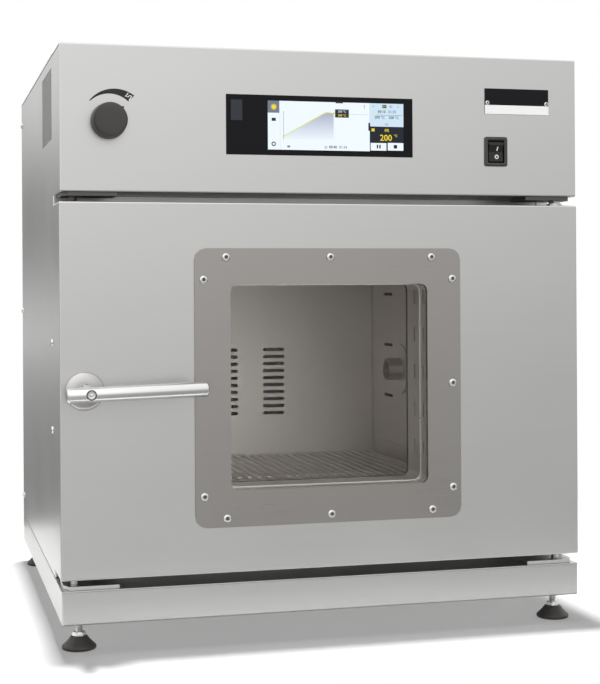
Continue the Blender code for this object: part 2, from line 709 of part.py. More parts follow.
def heater_leg_places():
    """Where the element's two legs turn back through the wall."""
    half_gap = math.radians(HEATER_GAP_DEG / 2)
    return [(side * HEATER_RING_RADIUS * math.sin(half_gap),
             FAN_Z - HEATER_RING_RADIUS * math.cos(half_gap)) for side in (-1, 1)]


def heater_leg_cutters():
    radius = HEATER_TUBE_RADIUS + RUNNING_CLEARANCE
    return [through_back("leg", x, z, radius) for x, z in heater_leg_places()]


def sensor_cutter(name):
    return span_rod(name, (SENSOR_OFFSET, BAFFLE_Y - OVERRUN, sensor_z()),
                    (SENSOR_OFFSET, WOOL_BACK_Y + OVERRUN, sensor_z()),
                    SENSOR_RADIUS + RUNNING_CLEARANCE, steps=SMALL_STEPS)


def sensor_z():
    return CHAMBER_TOP_Z - SENSOR_DROP


def port_cutter(name):
    return span_rod(name, (CHAMBER_SIDE - OVERRUN / 4, PORT_Y, DOOR_MID_Z),
                    (CASE_SIDE, PORT_Y, DOOR_MID_Z), PORT_RADIUS + 2 * TOUCH)


def exhaust_inlet_cutter(name):
    return span_rod(name, (OVERRUN / 4 - CHAMBER_SIDE, DUCT_Y, duct_inlet_z()),
                    (-CASE_SIDE, DUCT_Y, duct_inlet_z()), DUCT_TUBE_RADIUS + TOUCH)


def duct_inlet_z():
    return CHAMBER_TOP_Z - DUCT_INLET_DROP


def duct_low_z():
    return duct_inlet_z() - DUCT_TUBE_RADIUS - DUCT_TUBE_ROOM


def build_baffle():
    """The plate in front of the fan, with two columns of round-ended slots."""
    side = CHAMBER_SIDE - TOUCH
    baffle = tray("air_baffle", (-side, BAFFLE_Y, CHAMBER_LOW_Z + TOUCH),
                  (side, LINER_BACK_Y - LINER_SHEET - TOUCH, CHAMBER_TOP_Z - TOUCH),
                  (0, 1, 0), LINER_SHEET, LINER_STEEL, radius=0)
    outline = rounded_outline(BAFFLE_SLOT_WIDTH, BAFFLE_SLOT_HEIGHT, BAFFLE_SLOT_HEIGHT / 2, 2)
    slots = []
    for x in (-BAFFLE_COLUMN_OFFSET, BAFFLE_COLUMN_OFFSET):
        for z in spread(BAFFLE_SLOT_ROWS, BAFFLE_SLOT_PITCH):
            slots.append(slab("slot", [outline], BAFFLE_Y - OVERRUN, BAFFLE_Y + OVERRUN, x, FAN_Z + z))
    cut(baffle, joined("suction_slots", slots))
    cut(baffle, span_rod("probe_hole", (SENSOR_OFFSET, BAFFLE_Y - OVERRUN, sensor_z()),
                         (SENSOR_OFFSET, BAFFLE_Y + OVERRUN, sensor_z()),
                         SENSOR_RADIUS + RUNNING_CLEARANCE, steps=SMALL_STEPS))
    cut(baffle, span_rod("outlet_hole", (OVERRUN - CHAMBER_SIDE, DUCT_Y, duct_inlet_z()),
                         (-CHAMBER_SIDE - OVERRUN, DUCT_Y, duct_inlet_z()), DUCT_TUBE_RADIUS + TOUCH))


def build_wool():
    """The mineral wool jacket around the liner."""
    front = FRAME_BACK_Y + TOUCH
    inside = LINER_SHEET + TOUCH
    wool = box("chamber_insulation", (-INNER_SIDE, front, FRAME_LOW_Z),
               (INNER_SIDE, WOOL_BACK_Y, BAY_FLOOR_Z - TOUCH), WOOL)
    cut(wool, box("liner_room", (-CHAMBER_SIDE - inside, front - OVERRUN, CHAMBER_LOW_Z - inside),
                  (CHAMBER_SIDE + inside, LINER_BACK_Y + TOUCH, CHAMBER_TOP_Z + inside)))
    cut(wool, latch_cutter("wool_latch_pocket"))
    cut(wool, box("wool_strike_pocket",
                  (-CASE_SIDE, front - OVERRUN, DOOR_MID_Z - STRIKE_HEIGHT / 2 - TOUCH),
                  (STRIKE_THICKNESS + TOUCH - INNER_SIDE, FRAME_FRONT_Y + LATCH_POCKET_DEPTH,
                   DOOR_MID_Z + STRIKE_HEIGHT / 2 + TOUCH)))
    cut(wool, duct_cutter("wool_duct_hole"))
    cut(wool, exhaust_inlet_cutter("wool_tube_hole"))
    cut(wool, port_cutter("wool_port_hole"))
    cut(wool, through_back("wool_shaft_hole", 0, FAN_Z, FAN_SHAFT_RADIUS + SHAFT_ROOM))
    cut(wool, joined("wool_element_holes", heater_leg_cutters()))
    cut(wool, sensor_cutter("wool_sensor_hole"))


def build_rail(name, side):
    """A folded shelf runner: a ledge, an upright on the wall, and hooks in the lowest slots."""
    wall = side * (CHAMBER_SIDE - TOUCH)
    inner = side * (CHAMBER_SIDE - TOUCH - RAIL_WIDTH)
    (first_hook, _), (_, last_hook) = hook_spans()
    front = first_hook - RAIL_WIDTH
    back = last_hook + RAIL_WIDTH
    ledge_top = SHELF_Z - SHELF_RIM_RADIUS - TOUCH
    x_low, x_high = sorted((wall, inner))
    rail = box(name, (x_low, front, ledge_top - RAIL_THICKNESS), (x_high, back, ledge_top), LINER_STEEL)
    x_low, x_high = sorted((wall, side * (CHAMBER_SIDE - TOUCH - RAIL_THICKNESS)))
    add(rail, box(name + "_upright", (x_low, front, ledge_top - RAIL_THICKNESS / 2),
                  (x_high, back, LOWEST_HOOK_Z + RAIL_LIP)))
    hook_low = LOWEST_HOOK_Z - HOOK_SLOT_HEIGHT / 2 + TOUCH
    x_low, x_high = sorted((side * (CHAMBER_SIDE - RAIL_THICKNESS), side * (CHAMBER_SIDE + LINER_SHEET)))
    hooks = [box("hook", (x_low, start + HOOK_CLEARANCE, hook_low),
                 (x_high, end - HOOK_CLEARANCE, hook_low + RAIL_THICKNESS)) for start, end in hook_spans()]
    add(rail, joined(name + "_hooks", hooks))


def build_shelf():
    """The wire shelf: a rim, cross wires and many wires from front to back."""
    side = CHAMBER_SIDE - SHELF_SIDE_GAP - SHELF_RIM_RADIUS
    front = LINER_FRONT_Y + SHELF_FRONT_GAP + SHELF_RIM_RADIUS
    back = BAFFLE_Y - SHELF_BACK_GAP - SHELF_RIM_RADIUS
    depth = back - front
    mid_y = (front + back) / 2
    rim_points = [(x, mid_y + y, SHELF_Z)
                  for x, y in rounded_outline(2 * side, depth, SHELF_CORNER_RADIUS, 3)]
    shelf = bent_tube("wire_shelf", rim_points, SHELF_RIM_RADIUS, BRIGHT_STEEL, closed=True)
    pitch = 2 * side / (SHELF_WIRE_COUNT + 1)
    wires = []
    for x in spread(SHELF_WIRE_COUNT, pitch):
        inset = max(0, abs(x) + SHELF_CORNER_RADIUS - side)
        reach = depth / 2 - SHELF_CORNER_RADIUS + math.sqrt(SHELF_CORNER_RADIUS ** 2 - inset ** 2)
        wires.append(span_rod("wire", (x, mid_y - reach, SHELF_Z), (x, mid_y + reach, SHELF_Z),
                              SHELF_WIRE_RADIUS, steps=WIRE_STEPS))
    add(shelf, joined("shelf_wires", wires))
    cross_z = SHELF_Z - SHELF_RIM_RADIUS + SHELF_WIRE_RADIUS
    bars = [span_rod("bar", (-side, mid_y + y, cross_z), (side, mid_y + y, cross_z),
                     SHELF_WIRE_RADIUS, steps=WIRE_STEPS) for y in (-depth / 4, depth / 4)]
    add(shelf, joined("shelf_cross_bars", bars))
    carry("pivot_shelf", (0, mid_y, SHELF_Z), [shelf])


def build_air_system():
    """Fan wheel and shaft, motor, ring element and temperature probe."""
    fan_front = BAFFLE_Y + LINER_SHEET + FAN_GAP
    fan_back = fan_front + FAN_DEPTH
    wheel = span_rod("fan_wheel", (0, fan_back - FAN_DISC_THICKNESS, FAN_Z), (0, fan_back, FAN_Z),
                     FAN_RADIUS, GALVANISED, ROUND_STEPS)
    add(wheel, span_rod("fan_hub", (0, fan_front + FAN_DISC_THICKNESS, FAN_Z),
                        (0, fan_back + FAN_DISC_THICKNESS, FAN_Z), FAN_HUB_RADIUS, steps=SMALL_STEPS))
    add(wheel, joined("fan_blades", fan_blades(fan_front, fan_back)))
    cut(wheel, span_rod("fan_bore", (0, fan_front - OVERRUN, FAN_Z), (0, fan_back + OVERRUN, FAN_Z),
                        FAN_SHAFT_RADIUS + TOUCH, steps=SMALL_STEPS))
    motor_front = WOOL_BACK_Y + TOUCH
    shaft_end = motor_front + MOTOR_LENGTH - MOTOR_PLATE_THICKNESS
    shaft = span_rod("fan_shaft", (0, fan_front, FAN_Z), (0, shaft_end, FAN_Z), FAN_SHAFT_RADIUS,
                     BRIGHT_STEEL, SMALL_STEPS)
    half = CHAMBER_HEIGHT * MOTOR_PLATE_SHARE / 2
    motor = box("fan_motor", (-half, motor_front, FAN_Z - half),
                (half, motor_front + MOTOR_PLATE_THICKNESS, FAN_Z + half), MOTOR_GREY)
    add(motor, span_rod("motor_body", (0, motor_front + MOTOR_PLATE_THICKNESS / 2, FAN_Z),
                        (0, motor_front + MOTOR_LENGTH, FAN_Z), MOTOR_RADIUS))
    cut(motor, span_rod("motor_bore", (0, motor_front - OVERRUN, FAN_Z), (0, shaft_end + TOUCH, FAN_Z),
                        FAN_SHAFT_RADIUS + RUNNING_CLEARANCE, steps=SMALL_STEPS))
    leg_cutters = []
    for x, z in heater_leg_places():
        leg_cutters.append(span_rod("leg", (x, motor_front - OVERRUN, z),
                                    (x, motor_front + MOTOR_LENGTH, z),
                                    HEATER_TUBE_RADIUS + 2 * TOUCH, steps=SMALL_STEPS))
    bpy.context.view_layer.update()
    cut(motor, joined("motor_leg_holes", leg_cutters))
    carry("pivot_fan", (0, fan_back, FAN_Z), [wheel, shaft])
    build_heater()
    span_rod("temperature_sensor", (SENSOR_OFFSET, BAFFLE_Y - SENSOR_REACH, sensor_z()),
             (SENSOR_OFFSET, WOOL_BACK_Y + SENSOR_TAIL, sensor_z()), SENSOR_RADIUS,
             BRIGHT_STEEL, SMALL_STEPS)


def fan_blades(fan_front, fan_back):
    """Straight radial blades on the front of the fan's disc."""
    blades = []
    for index in range(FAN_BLADE_COUNT):
        blade = box("blade", (FAN_RADIUS * FAN_BLADE_INNER_SHARE, fan_front, -FAN_BLADE_THICKNESS / 2),
                    (FAN_RADIUS - FAN_BLADE_THICKNESS, fan_back - FAN_DISC_THICKNESS / 2,
                     FAN_BLADE_THICKNESS / 2))
        turn = Matrix.Rotation(math.radians(360) * index / FAN_BLADE_COUNT, 4, "Y")
        blade.matrix_world = (Matrix.Translation((0, 0, FAN_Z)) @ turn
                              @ Matrix.Translation(blade.location))
        blades.append(blade)
    return blades


def build_heater():
    """The ring element around the fan, with two legs through the rear wall."""
    ring_y = BAFFLE_Y + LINER_SHEET + FAN_GAP + FAN_DEPTH / 2
    legs = heater_leg_places()
    first = math.radians(HEATER_GAP_DEG / 2)
    last = math.radians(360) - first
    steps = ROUND_STEPS
    ring = []
    for step in range(steps + 1):
        angle = first + (last - first) * step / steps
        ring.append((HEATER_RING_RADIUS * math.sin(angle), ring_y,
                     FAN_Z - HEATER_RING_RADIUS * math.cos(angle)))
    end_y = WOOL_BACK_Y + HEATER_TERMINAL_REACH
    near_y = ring_y + 2 * HEATER_TUBE_RADIUS
    (left_x, left_z), (right_x, right_z) = legs
    points = [(right_x, end_y, right_z), (right_x, near_y, right_z)]
    points += ring[1:-1]
    points += [(left_x, near_y, left_z), (left_x, end_y, left_z)]
    bent_tube("heating_element", points, HEATER_TUBE_RADIUS, DARK_STEEL)


def build_port():
    """The access port through the right wall and its plug."""
    inner = CHAMBER_SIDE - PORT_FLANGE_THICKNESS - TOUCH - PORT_REACH
    outer = CASE_SIDE - SHEET
    tube = span_rod("access_port_tube", (inner, PORT_Y, DOOR_MID_Z), (outer, PORT_Y, DOOR_MID_Z),
                    PORT_RADIUS, LINER_STEEL)
    add(tube, span_rod("port_flange",
                       (CHAMBER_SIDE - PORT_FLANGE_THICKNESS - TOUCH, PORT_Y, DOOR_MID_Z),
                       (CHAMBER_SIDE - TOUCH, PORT_Y, DOOR_MID_Z), PORT_FLANGE_RADIUS))
    cut(tube, span_rod("port_bore", (inner - OVERRUN, PORT_Y, DOOR_MID_Z),
                       (outer + OVERRUN, PORT_Y, DOOR_MID_Z), PORT_RADIUS - PORT_SHEET))
    plug = span_rod("access_port_plug", (CASE_SIDE - PLUG_LENGTH, PORT_Y, DOOR_MID_Z),
                    (CASE_SIDE + PLUG_HEAD_THICKNESS / 2, PORT_Y, DOOR_MID_Z),
                    PORT_RADIUS - PORT_SHEET - PLUG_CLEARANCE, SILICONE)
    add(plug, span_rod("plug_head", (CASE_SIDE + TOUCH, PORT_Y, DOOR_MID_Z),
                       (CASE_SIDE + PLUG_HEAD_THICKNESS, PORT_Y, DOOR_MID_Z), PLUG_HEAD_RADIUS))
    carry("pivot_plug", (CASE_SIDE, PORT_Y, DOOR_MID_Z), [plug])


def build_exhaust():
    """Exhaust duct with its tubes, and the flap turned by the knob on the fascia."""
    half = DUCT_SIZE / 2
    low_z = duct_low_z()
    top_z = SIDE_TOP_Z - DUCT_TOP_GAP
    duct = box("exhaust_duct", (KNOB_X - half, DUCT_Y - half, low_z),
               (KNOB_X + half, DUCT_Y + half, top_z), GALVANISED)
    inlet_start = (KNOB_X + half - SHEET / 2, DUCT_Y, duct_inlet_z())
    inlet_end = (LINER_SHEET + TOUCH - CHAMBER_SIDE, DUCT_Y, duct_inlet_z())
    outlet_start = (KNOB_X, DUCT_Y + half - SHEET / 2, exhaust_z())
    outlet_end = (KNOB_X, BACK_Y + REAR_REACH, exhaust_z())
    tubes = [span_rod("tube", inlet_start, inlet_end, DUCT_TUBE_RADIUS),
             span_rod("tube", outlet_start, outlet_end, DUCT_TUBE_RADIUS)]
    add(duct, joined("duct_tubes", tubes))
    cut(duct, box("duct_hollow", (KNOB_X - half + SHEET, DUCT_Y - half + SHEET, low_z + SHEET),
                  (KNOB_X + half - SHEET, DUCT_Y + half - SHEET, top_z - SHEET)))
    bore = DUCT_TUBE_RADIUS - DUCT_TUBE_SHEET
    inlet_bore = span_rod("bore", Vector(inlet_start) - Vector((OVERRUN, 0, 0)),
                          Vector(inlet_end) + Vector((OVERRUN, 0, 0)), bore)
    outlet_bore = span_rod("bore", Vector(outlet_start) - Vector((0, OVERRUN, 0)),
                           Vector(outlet_end) + Vector((0, OVERRUN, 0)), bore)
    cut(duct, joined("duct_bores", [inlet_bore, outlet_bore]))
    cut(duct, span_rod("duct_shaft_holes", (KNOB_X, DUCT_Y - half - OVERRUN, KNOB_Z),
                       (KNOB_X, DUCT_Y + half + OVERRUN, KNOB_Z),
                       VENT_SHAFT_RADIUS + RUNNING_CLEARANCE, steps=SMALL_STEPS))
    build_vent_control(half)


def build_vent_control(half):
    """Knob, long shaft and flap, which turn together."""
    centre = (KNOB_X, FRONT_Y - TOUCH, KNOB_Z)
    knob = turned("vent_knob", [(0, KNOB_HEIGHT),
                                (KNOB_RADIUS - KNOB_TAPER - KNOB_CROWN, KNOB_HEIGHT),
                                (KNOB_RADIUS - KNOB_TAPER, KNOB_HEIGHT - KNOB_CROWN),
                                (KNOB_RADIUS, 0), (0, 0)],
                  centre, (0, -1, 0), GREY_PLASTIC)
    tab_low = KNOB_RADIUS - KNOB_TAPER - 2 * KNOB_CROWN
    tab = box("pointer_tab", (tab_low, FRONT_Y - KNOB_HEIGHT + KNOB_TAB_DEPTH / 4, -KNOB_TAB_WIDTH / 2),
              (KNOB_RADIUS + KNOB_TAB_REACH, FRONT_Y - KNOB_HEIGHT + KNOB_TAB_DEPTH, KNOB_TAB_WIDTH / 2))
    turn = Matrix.Rotation(-math.radians(KNOB_REST_DEG), 4, "Y")
    tab.matrix_world = (Matrix.Translation((KNOB_X, 0, KNOB_Z)) @ turn
                        @ Matrix.Translation(tab.location))
    add(knob, tab)
    cut(knob, span_rod("knob_bore", (KNOB_X, FRONT_Y - KNOB_HEIGHT / 2, KNOB_Z),
                       (KNOB_X, FRONT_Y + OVERRUN, KNOB_Z), VENT_SHAFT_RADIUS + TOUCH,
                       steps=SMALL_STEPS))
    shaft = span_rod("vent_shaft", (KNOB_X, FRONT_Y - KNOB_HEIGHT / 2 + TOUCH, KNOB_Z),
                     (KNOB_X, DUCT_Y + half + OVERRUN, KNOB_Z), VENT_SHAFT_RADIUS,
                     BRIGHT_STEEL, SMALL_STEPS)
    reach = half - SHEET - FLAP_CLEARANCE
    flap = box("exhaust_flap", (KNOB_X - FLAP_THICKNESS / 2, DUCT_Y - reach, KNOB_Z - reach),
               (KNOB_X + FLAP_THICKNESS / 2, DUCT_Y + reach, KNOB_Z + reach), GALVANISED)
    add(flap, span_rod("flap_hub", (KNOB_X, DUCT_Y - reach + TOUCH, KNOB_Z),
                       (KNOB_X, DUCT_Y + reach - TOUCH, KNOB_Z), FLAP_HUB_RADIUS, steps=SMALL_STEPS))
    cut(flap, span_rod("flap_bore", (KNOB_X, DUCT_Y - half, KNOB_Z), (KNOB_X, DUCT_Y + half, KNOB_Z),
                       VENT_SHAFT_RADIUS + TOUCH, steps=SMALL_STEPS))
    carry("pivot_vent", centre, [knob, shaft, flap])


def build_fascia():
    """The control box front with its display, name plate, switch and knob hole."""
    fascia = tray("control_fascia", (-CASE_SIDE, FRONT_Y, FASCIA_LOW_Z),
                  (CASE_SIDE, CASE_FRONT_Y - TOUCH, CASE_TOP_Z), (0, 1, 0), SHEET, STEEL)
    cut(fascia, rod("knob_hole", (KNOB_X, FRONT_Y, KNOB_Z), VENT_SHAFT_RADIUS + RUNNING_CLEARANCE,
                    2 * OVERRUN, (0, 1, 0), steps=SMALL_STEPS))
    build_display(fascia)
    plate_z = CASE_TOP_Z - PLATE_DROP
    name_plate = box("name_plate",
                     (PLATE_X - PLATE_WIDTH / 2, FRONT_Y - TOUCH - PLATE_THICKNESS,
                      plate_z - PLATE_HEIGHT / 2),
                     (PLATE_X + PLATE_WIDTH / 2, FRONT_Y - TOUCH, plate_z + PLATE_HEIGHT / 2),
                     BLACK_PLASTIC)
    round_off(name_plate, PLATE_THICKNESS / 4, 1)
    build_switch(fascia)


def build_display(fascia):
    """The touch display's glass, its controller housing and the hinged socket cover."""
    mid_z = CASE_TOP_Z - DISPLAY_DROP
    low_x = DISPLAY_X - DISPLAY_WIDTH / 2
    high_x = DISPLAY_X + DISPLAY_WIDTH / 2
    low_z = mid_z - DISPLAY_HEIGHT / 2
    high_z = mid_z + DISPLAY_HEIGHT / 2
    glass_front = FRONT_Y - DISPLAY_PROUD
    glass_back = glass_front + DISPLAY_GLASS
    cut(fascia, box("display_window", (low_x - TOUCH, FRONT_Y - OVERRUN, low_z - TOUCH),
                    (high_x + TOUCH, FRONT_Y + OVERRUN, high_z + TOUCH)))
    glass = box("display_glass", (low_x, glass_front, low_z), (high_x, glass_back, high_z), BLACK_GLASS)
    box("controller_housing", (low_x + CONTROLLER_INSET, glass_back + TOUCH, low_z + CONTROLLER_INSET / 2),
        (high_x - CONTROLLER_INSET, glass_back + CONTROLLER_DEPTH, high_z - CONTROLLER_INSET / 2),
        BLACK_PLASTIC)
    cover_low_x = low_x + USB_COVER_SIDE
    cover_high_z = high_z - USB_COVER_DROP
    cover_low_z = cover_high_z - USB_COVER_HEIGHT
    cover_back = glass_front - TOUCH
    cut(glass, box("socket_recess",
                   (cover_low_x + USB_RECESS_INSET, glass_front - OVERRUN,
                    cover_low_z + USB_RECESS_INSET),
                   (cover_low_x + USB_COVER_WIDTH - USB_RECESS_INSET, glass_back + OVERRUN,
                    cover_high_z - USB_RECESS_INSET)))
    cover = box("usb_cover", (cover_low_x, cover_back - USB_COVER_THICKNESS, cover_low_z),
                (cover_low_x + USB_COVER_WIDTH, cover_back, cover_high_z), GREY_PLASTIC)
    carry("pivot_usb_cover", (cover_low_x, cover_back, (cover_low_z + cover_high_z) / 2), [cover])


def build_switch(fascia):
    """The mains switch: a housing in the fascia and a rocker on a cross pivot."""
    mid_z = CASE_TOP_Z - SWITCH_DROP
    half_w = SWITCH_WIDTH / 2
    half_h = SWITCH_HEIGHT / 2
    body_w = half_w - SWITCH_BODY_INSET
    body_h = half_h - SWITCH_BODY_INSET
    cut(fascia, box("switch_window", (SWITCH_X - body_w - TOUCH, FRONT_Y - OVERRUN, mid_z - body_h - TOUCH),
                    (SWITCH_X + body_w + TOUCH, FRONT_Y + OVERRUN, mid_z + body_h + TOUCH)))
    bezel_front = FRONT_Y - TOUCH - SWITCH_BEZEL_PROUD
    housing = box("switch_housing", (SWITCH_X - half_w, bezel_front, mid_z - half_h),
                  (SWITCH_X + half_w, FRONT_Y - TOUCH, mid_z + half_h), BLACK_PLASTIC)
    add(housing, box("switch_body", (SWITCH_X - body_w, FRONT_Y - SWITCH_BEZEL_PROUD / 2,
                                     mid_z - body_h),
                     (SWITCH_X + body_w, FRONT_Y + SWITCH_BODY_DEPTH, mid_z + body_h)))
    pocket_w = body_w - SWITCH_WALL
    pocket_h = body_h - SWITCH_WALL
    cut(housing, box("rocker_pocket", (SWITCH_X - pocket_w, bezel_front - OVERRUN, mid_z - pocket_h),
                     (SWITCH_X + pocket_w, FRONT_Y + ROCKER_POCKET_DEPTH, mid_z + pocket_h)))
    pivot_y = bezel_front + ROCKER_DEPTH
    rocker = extruded_rocker(pocket_w - ROCKER_CLEARANCE, pocket_h - ROCKER_CLEARANCE, pivot_y, mid_z)
    carry("pivot_rocker", (SWITCH_X, pivot_y, mid_z), [rocker])


def extruded_rocker(half_width, radius, pivot_y, mid_z):
    """A rocker whose ends follow a circle about its pivot, with a shallow V in front."""
    outline = [(0, ROCKER_DEPTH - ROCKER_VEE)]
    end_angles = [math.radians(90) - math.asin(ROCKER_DEPTH / radius) * share for share in (1, 0, -1)]
    for angle in end_angles:
        outline.append((radius * math.sin(angle), radius * math.cos(angle)))
    for angle in reversed(end_angles):
        outline.append((-radius * math.sin(angle), radius * math.cos(angle)))
    tilt = Matrix.Rotation(math.radians(ROCKER_SWING_DEG) / 2, 2)
    outline = [tuple(tilt @ Vector(point)) for point in outline]
    sideways = Matrix(((0, 0, 1), (0, -1, 0), (1, 0, 0))).to_4x4()
    return flat_plate("power_rocker", [outline], 2 * half_width,
                      Matrix.Translation((SWITCH_X, pivot_y, mid_z)) @ sideways, BLACK_PLASTIC)


def build_electrics():
    """Power board with its relay on the bay floor, and the mains inlet."""
    floor_z = BAY_FLOOR_Z + SHEET + TOUCH
    front = CASE_FRONT_Y + BOARD_SETBACK
    low_x = BOARD_X - BOARD_WIDTH / 2
    board = box("power_board", (low_x, front, floor_z + BOARD_LIFT),
                (low_x + BOARD_WIDTH, front + BOARD_DEPTH, floor_z + BOARD_LIFT + BOARD_THICKNESS),
                BOARD_GREEN)
    posts = []
    for x in (low_x + BOARD_POST_INSET, low_x + BOARD_WIDTH - BOARD_POST_INSET):
        for y in (front + BOARD_POST_INSET, front + BOARD_DEPTH - BOARD_POST_INSET):
            posts.append(span_rod("post", (x, y, floor_z),
                                  (x, y, floor_z + BOARD_LIFT + BOARD_THICKNESS / 2),
                                  BOARD_POST_RADIUS, steps=HEX_STEPS))
    add(board, joined("board_posts", posts))
    relay_front = front + BOARD_POST_INSET
    relay_low = floor_z + BOARD_LIFT + BOARD_THICKNESS / 2
    add(board, box("heater_relay", (BOARD_X - RELAY_WIDTH / 2, relay_front, relay_low),
                   (BOARD_X + RELAY_WIDTH / 2, relay_front + RELAY_DEPTH, relay_low + RELAY_HEIGHT)))
    inlet_z = SIDE_LOW_Z + INLET_LIFT
    inlet = box("mains_inlet", (INLET_X - INLET_WIDTH / 2, BACK_Y + TOUCH, inlet_z - INLET_HEIGHT / 2),
                (INLET_X + INLET_WIDTH / 2, BACK_Y + INLET_FLANGE, inlet_z + INLET_HEIGHT / 2),
                BLACK_PLASTIC)
    half_w = INLET_WIDTH / 2 - INLET_BODY_INSET
    half_h = INLET_HEIGHT / 2 - INLET_POCKET_WALL
    add(inlet, box("inlet_body", (INLET_X - half_w, BACK_Y - INLET_BODY_DEPTH, inlet_z - half_h),
                   (INLET_X + half_w, BACK_Y + INLET_FLANGE / 2, inlet_z + half_h)))
    pocket_w = half_w - INLET_POCKET_WALL
    pocket_h = half_h - INLET_POCKET_WALL
    cut(inlet, box("inlet_pocket", (INLET_X - pocket_w, BACK_Y - INLET_POCKET_DEPTH, inlet_z - pocket_h),
                   (INLET_X + pocket_w, BACK_Y + OVERRUN, inlet_z + pocket_h)))


def hinge_plate(name, side, low_z):
    """A flat plate in the gap above or below the door, with a cut outer corner."""
    outer = CASE_SIDE - HINGE_PLATE_INSET
    inner = outer - HINGE_PLATE_WIDTH
    front = FRONT_Y + HINGE_PLATE_INSET
    back = front + HINGE_PLATE_DEPTH
    outline = [(inner, front), (outer - HINGE_PLATE_CORNER / 2, front),
               (outer, front + HINGE_PLATE_CORNER), (outer, back), (inner, back)]
    outline = [(side * x, y) for x, y in outline]
    return flat_plate(name, [outline], HINGE_PLATE_THICKNESS,
                      Matrix.Translation((0, 0, low_z + HINGE_PLATE_THICKNESS / 2)), STEEL)


def build_hinges():
    """Four hinge plates: the right pair hold the door's pivot pins, the left pair only pegs."""
    low_z = PLINTH_TOP_Z + TOUCH
    low_top = low_z + HINGE_PLATE_THICKNESS
    high_top = FASCIA_LOW_Z - TOUCH
    high_low = high_top - HINGE_PLATE_THICKNESS
    lower = hinge_plate("hinge_plate_lower", 1, low_z)
    add(lower, span_rod("lower_pin", (HINGE_X, HINGE_Y, low_z + HINGE_PLATE_THICKNESS / 2),
                        (HINGE_X, HINGE_Y, DOOR_LOW_Z + PIN_REACH), PIN_RADIUS, steps=SMALL_STEPS))
    add(lower, span_rod("pin_collar", (HINGE_X, HINGE_Y, low_z + HINGE_PLATE_THICKNESS / 2),
                        (HINGE_X, HINGE_Y, DOOR_LOW_Z - BUSH_FLANGE_THICKNESS - TOUCH),
                        PIN_COLLAR_RADIUS, steps=SMALL_STEPS))
    upper = hinge_plate("hinge_plate_upper", 1, high_low)
    add(upper, span_rod("upper_pin", (HINGE_X, HINGE_Y, DOOR_TOP_Z - PIN_REACH),
                        (HINGE_X, HINGE_Y, high_low + HINGE_PLATE_THICKNESS / 2), PIN_RADIUS,
                        steps=SMALL_STEPS))
    spare_lower = hinge_plate("spare_hinge_plate_lower", -1, low_z)
    add(spare_lower, span_rod("lower_peg", (-HINGE_X, HINGE_Y, low_z + HINGE_PLATE_THICKNESS / 2),
                              (-HINGE_X, HINGE_Y, low_top + SPARE_PEG_HEIGHT), SPARE_PEG_RADIUS,
                              steps=SMALL_STEPS))
    spare_upper = hinge_plate("spare_hinge_plate_upper", -1, high_low)
    add(spare_upper, span_rod("upper_peg", (-HINGE_X, HINGE_Y, high_low - SPARE_PEG_HEIGHT),
                              (-HINGE_X, HINGE_Y, high_low + HINGE_PLATE_THICKNESS / 2),
                              SPARE_PEG_RADIUS, steps=SMALL_STEPS))


def build_door():
    """The door's shells, wool, gasket, hinge bushes, window and handle."""
    outer = tray("door_outer_panel", (-DOOR_SIDE, FRONT_Y, DOOR_LOW_Z),
                 (DOOR_SIDE, DOOR_BACK_Y, DOOR_TOP_Z), (0, 1, 0), SHEET, STEEL)
    inside = SHEET + TOUCH
    pan = tray("door_inner_pan", (-DOOR_SIDE + inside, DOOR_BACK_Y - DOOR_PAN_FLANGE, DOOR_LOW_Z + inside),
               (DOOR_SIDE - inside, DOOR_BACK_Y, DOOR_TOP_Z - inside), (0, -1, 0), SHEET, STEEL)
    glass_w = WINDOW_WIDTH + 2 * GLASS_LAP
    glass_h = WINDOW_HEIGHT + 2 * GLASS_LAP
    cut(outer, slab("panel_window", [rounded_outline(glass_w + 2 * TOUCH, glass_h + 2 * TOUCH,
                                                     WINDOW_RADIUS)],
                    FRONT_Y - OVERRUN, FRONT_Y + OVERRUN, 0, DOOR_MID_Z))
    cut(pan, slab("pan_window", [rounded_outline(WINDOW_WIDTH, WINDOW_HEIGHT, WINDOW_RADIUS)],
                  DOOR_BACK_Y - OVERRUN, DOOR_BACK_Y + OVERRUN, 0, DOOR_MID_Z))
    wool = box("door_insulation",
               (-DOOR_SIDE + DOOR_WOOL_MARGIN, FRONT_Y + SHEET + TOUCH, DOOR_LOW_Z + DOOR_WOOL_MARGIN),
               (DOOR_SIDE - DOOR_WOOL_MARGIN, DOOR_BACK_Y - SHEET - TOUCH,
                DOOR_TOP_Z - DOOR_WOOL_MARGIN), WOOL)
    cut(wool, slab("wool_window", [rounded_outline(glass_w + 2 * TOUCH, glass_h + 2 * TOUCH,
                                                   WINDOW_RADIUS)],
                   FRONT_Y - OVERRUN, DOOR_BACK_Y + OVERRUN, 0, DOOR_MID_Z))
    cut(wool, rod("wool_spindle_hole", (HANDLE_X, (FRONT_Y + DOOR_BACK_Y) / 2, DOOR_MID_Z),
                  SPINDLE_RADIUS + RUNNING_CLEARANCE, DOOR_DEPTH, (0, 1, 0), steps=SMALL_STEPS))
    gasket = build_gasket()
    bushes = [build_bush("hinge_bush_lower", DOOR_LOW_Z, 1), build_bush("hinge_bush_upper", DOOR_TOP_Z, -1)]
    cut(outer, span_rod("bush_holes", (HINGE_X, HINGE_Y, DOOR_LOW_Z - OVERRUN),
                        (HINGE_X, HINGE_Y, DOOR_TOP_Z + OVERRUN), BUSH_RADIUS + TOUCH, steps=SMALL_STEPS))
    glazing = build_glazing(glass_w, glass_h)
    handle = build_handle(outer, pan)
    pivot = carry("pivot_door", (HINGE_X, HINGE_Y, DOOR_MID_Z),
                  [outer, pan, wool, gasket] + bushes + glazing + [handle[0]])
    carry("pivot_handle", (HANDLE_X, FRONT_Y, DOOR_MID_Z), handle[1:], pivot)


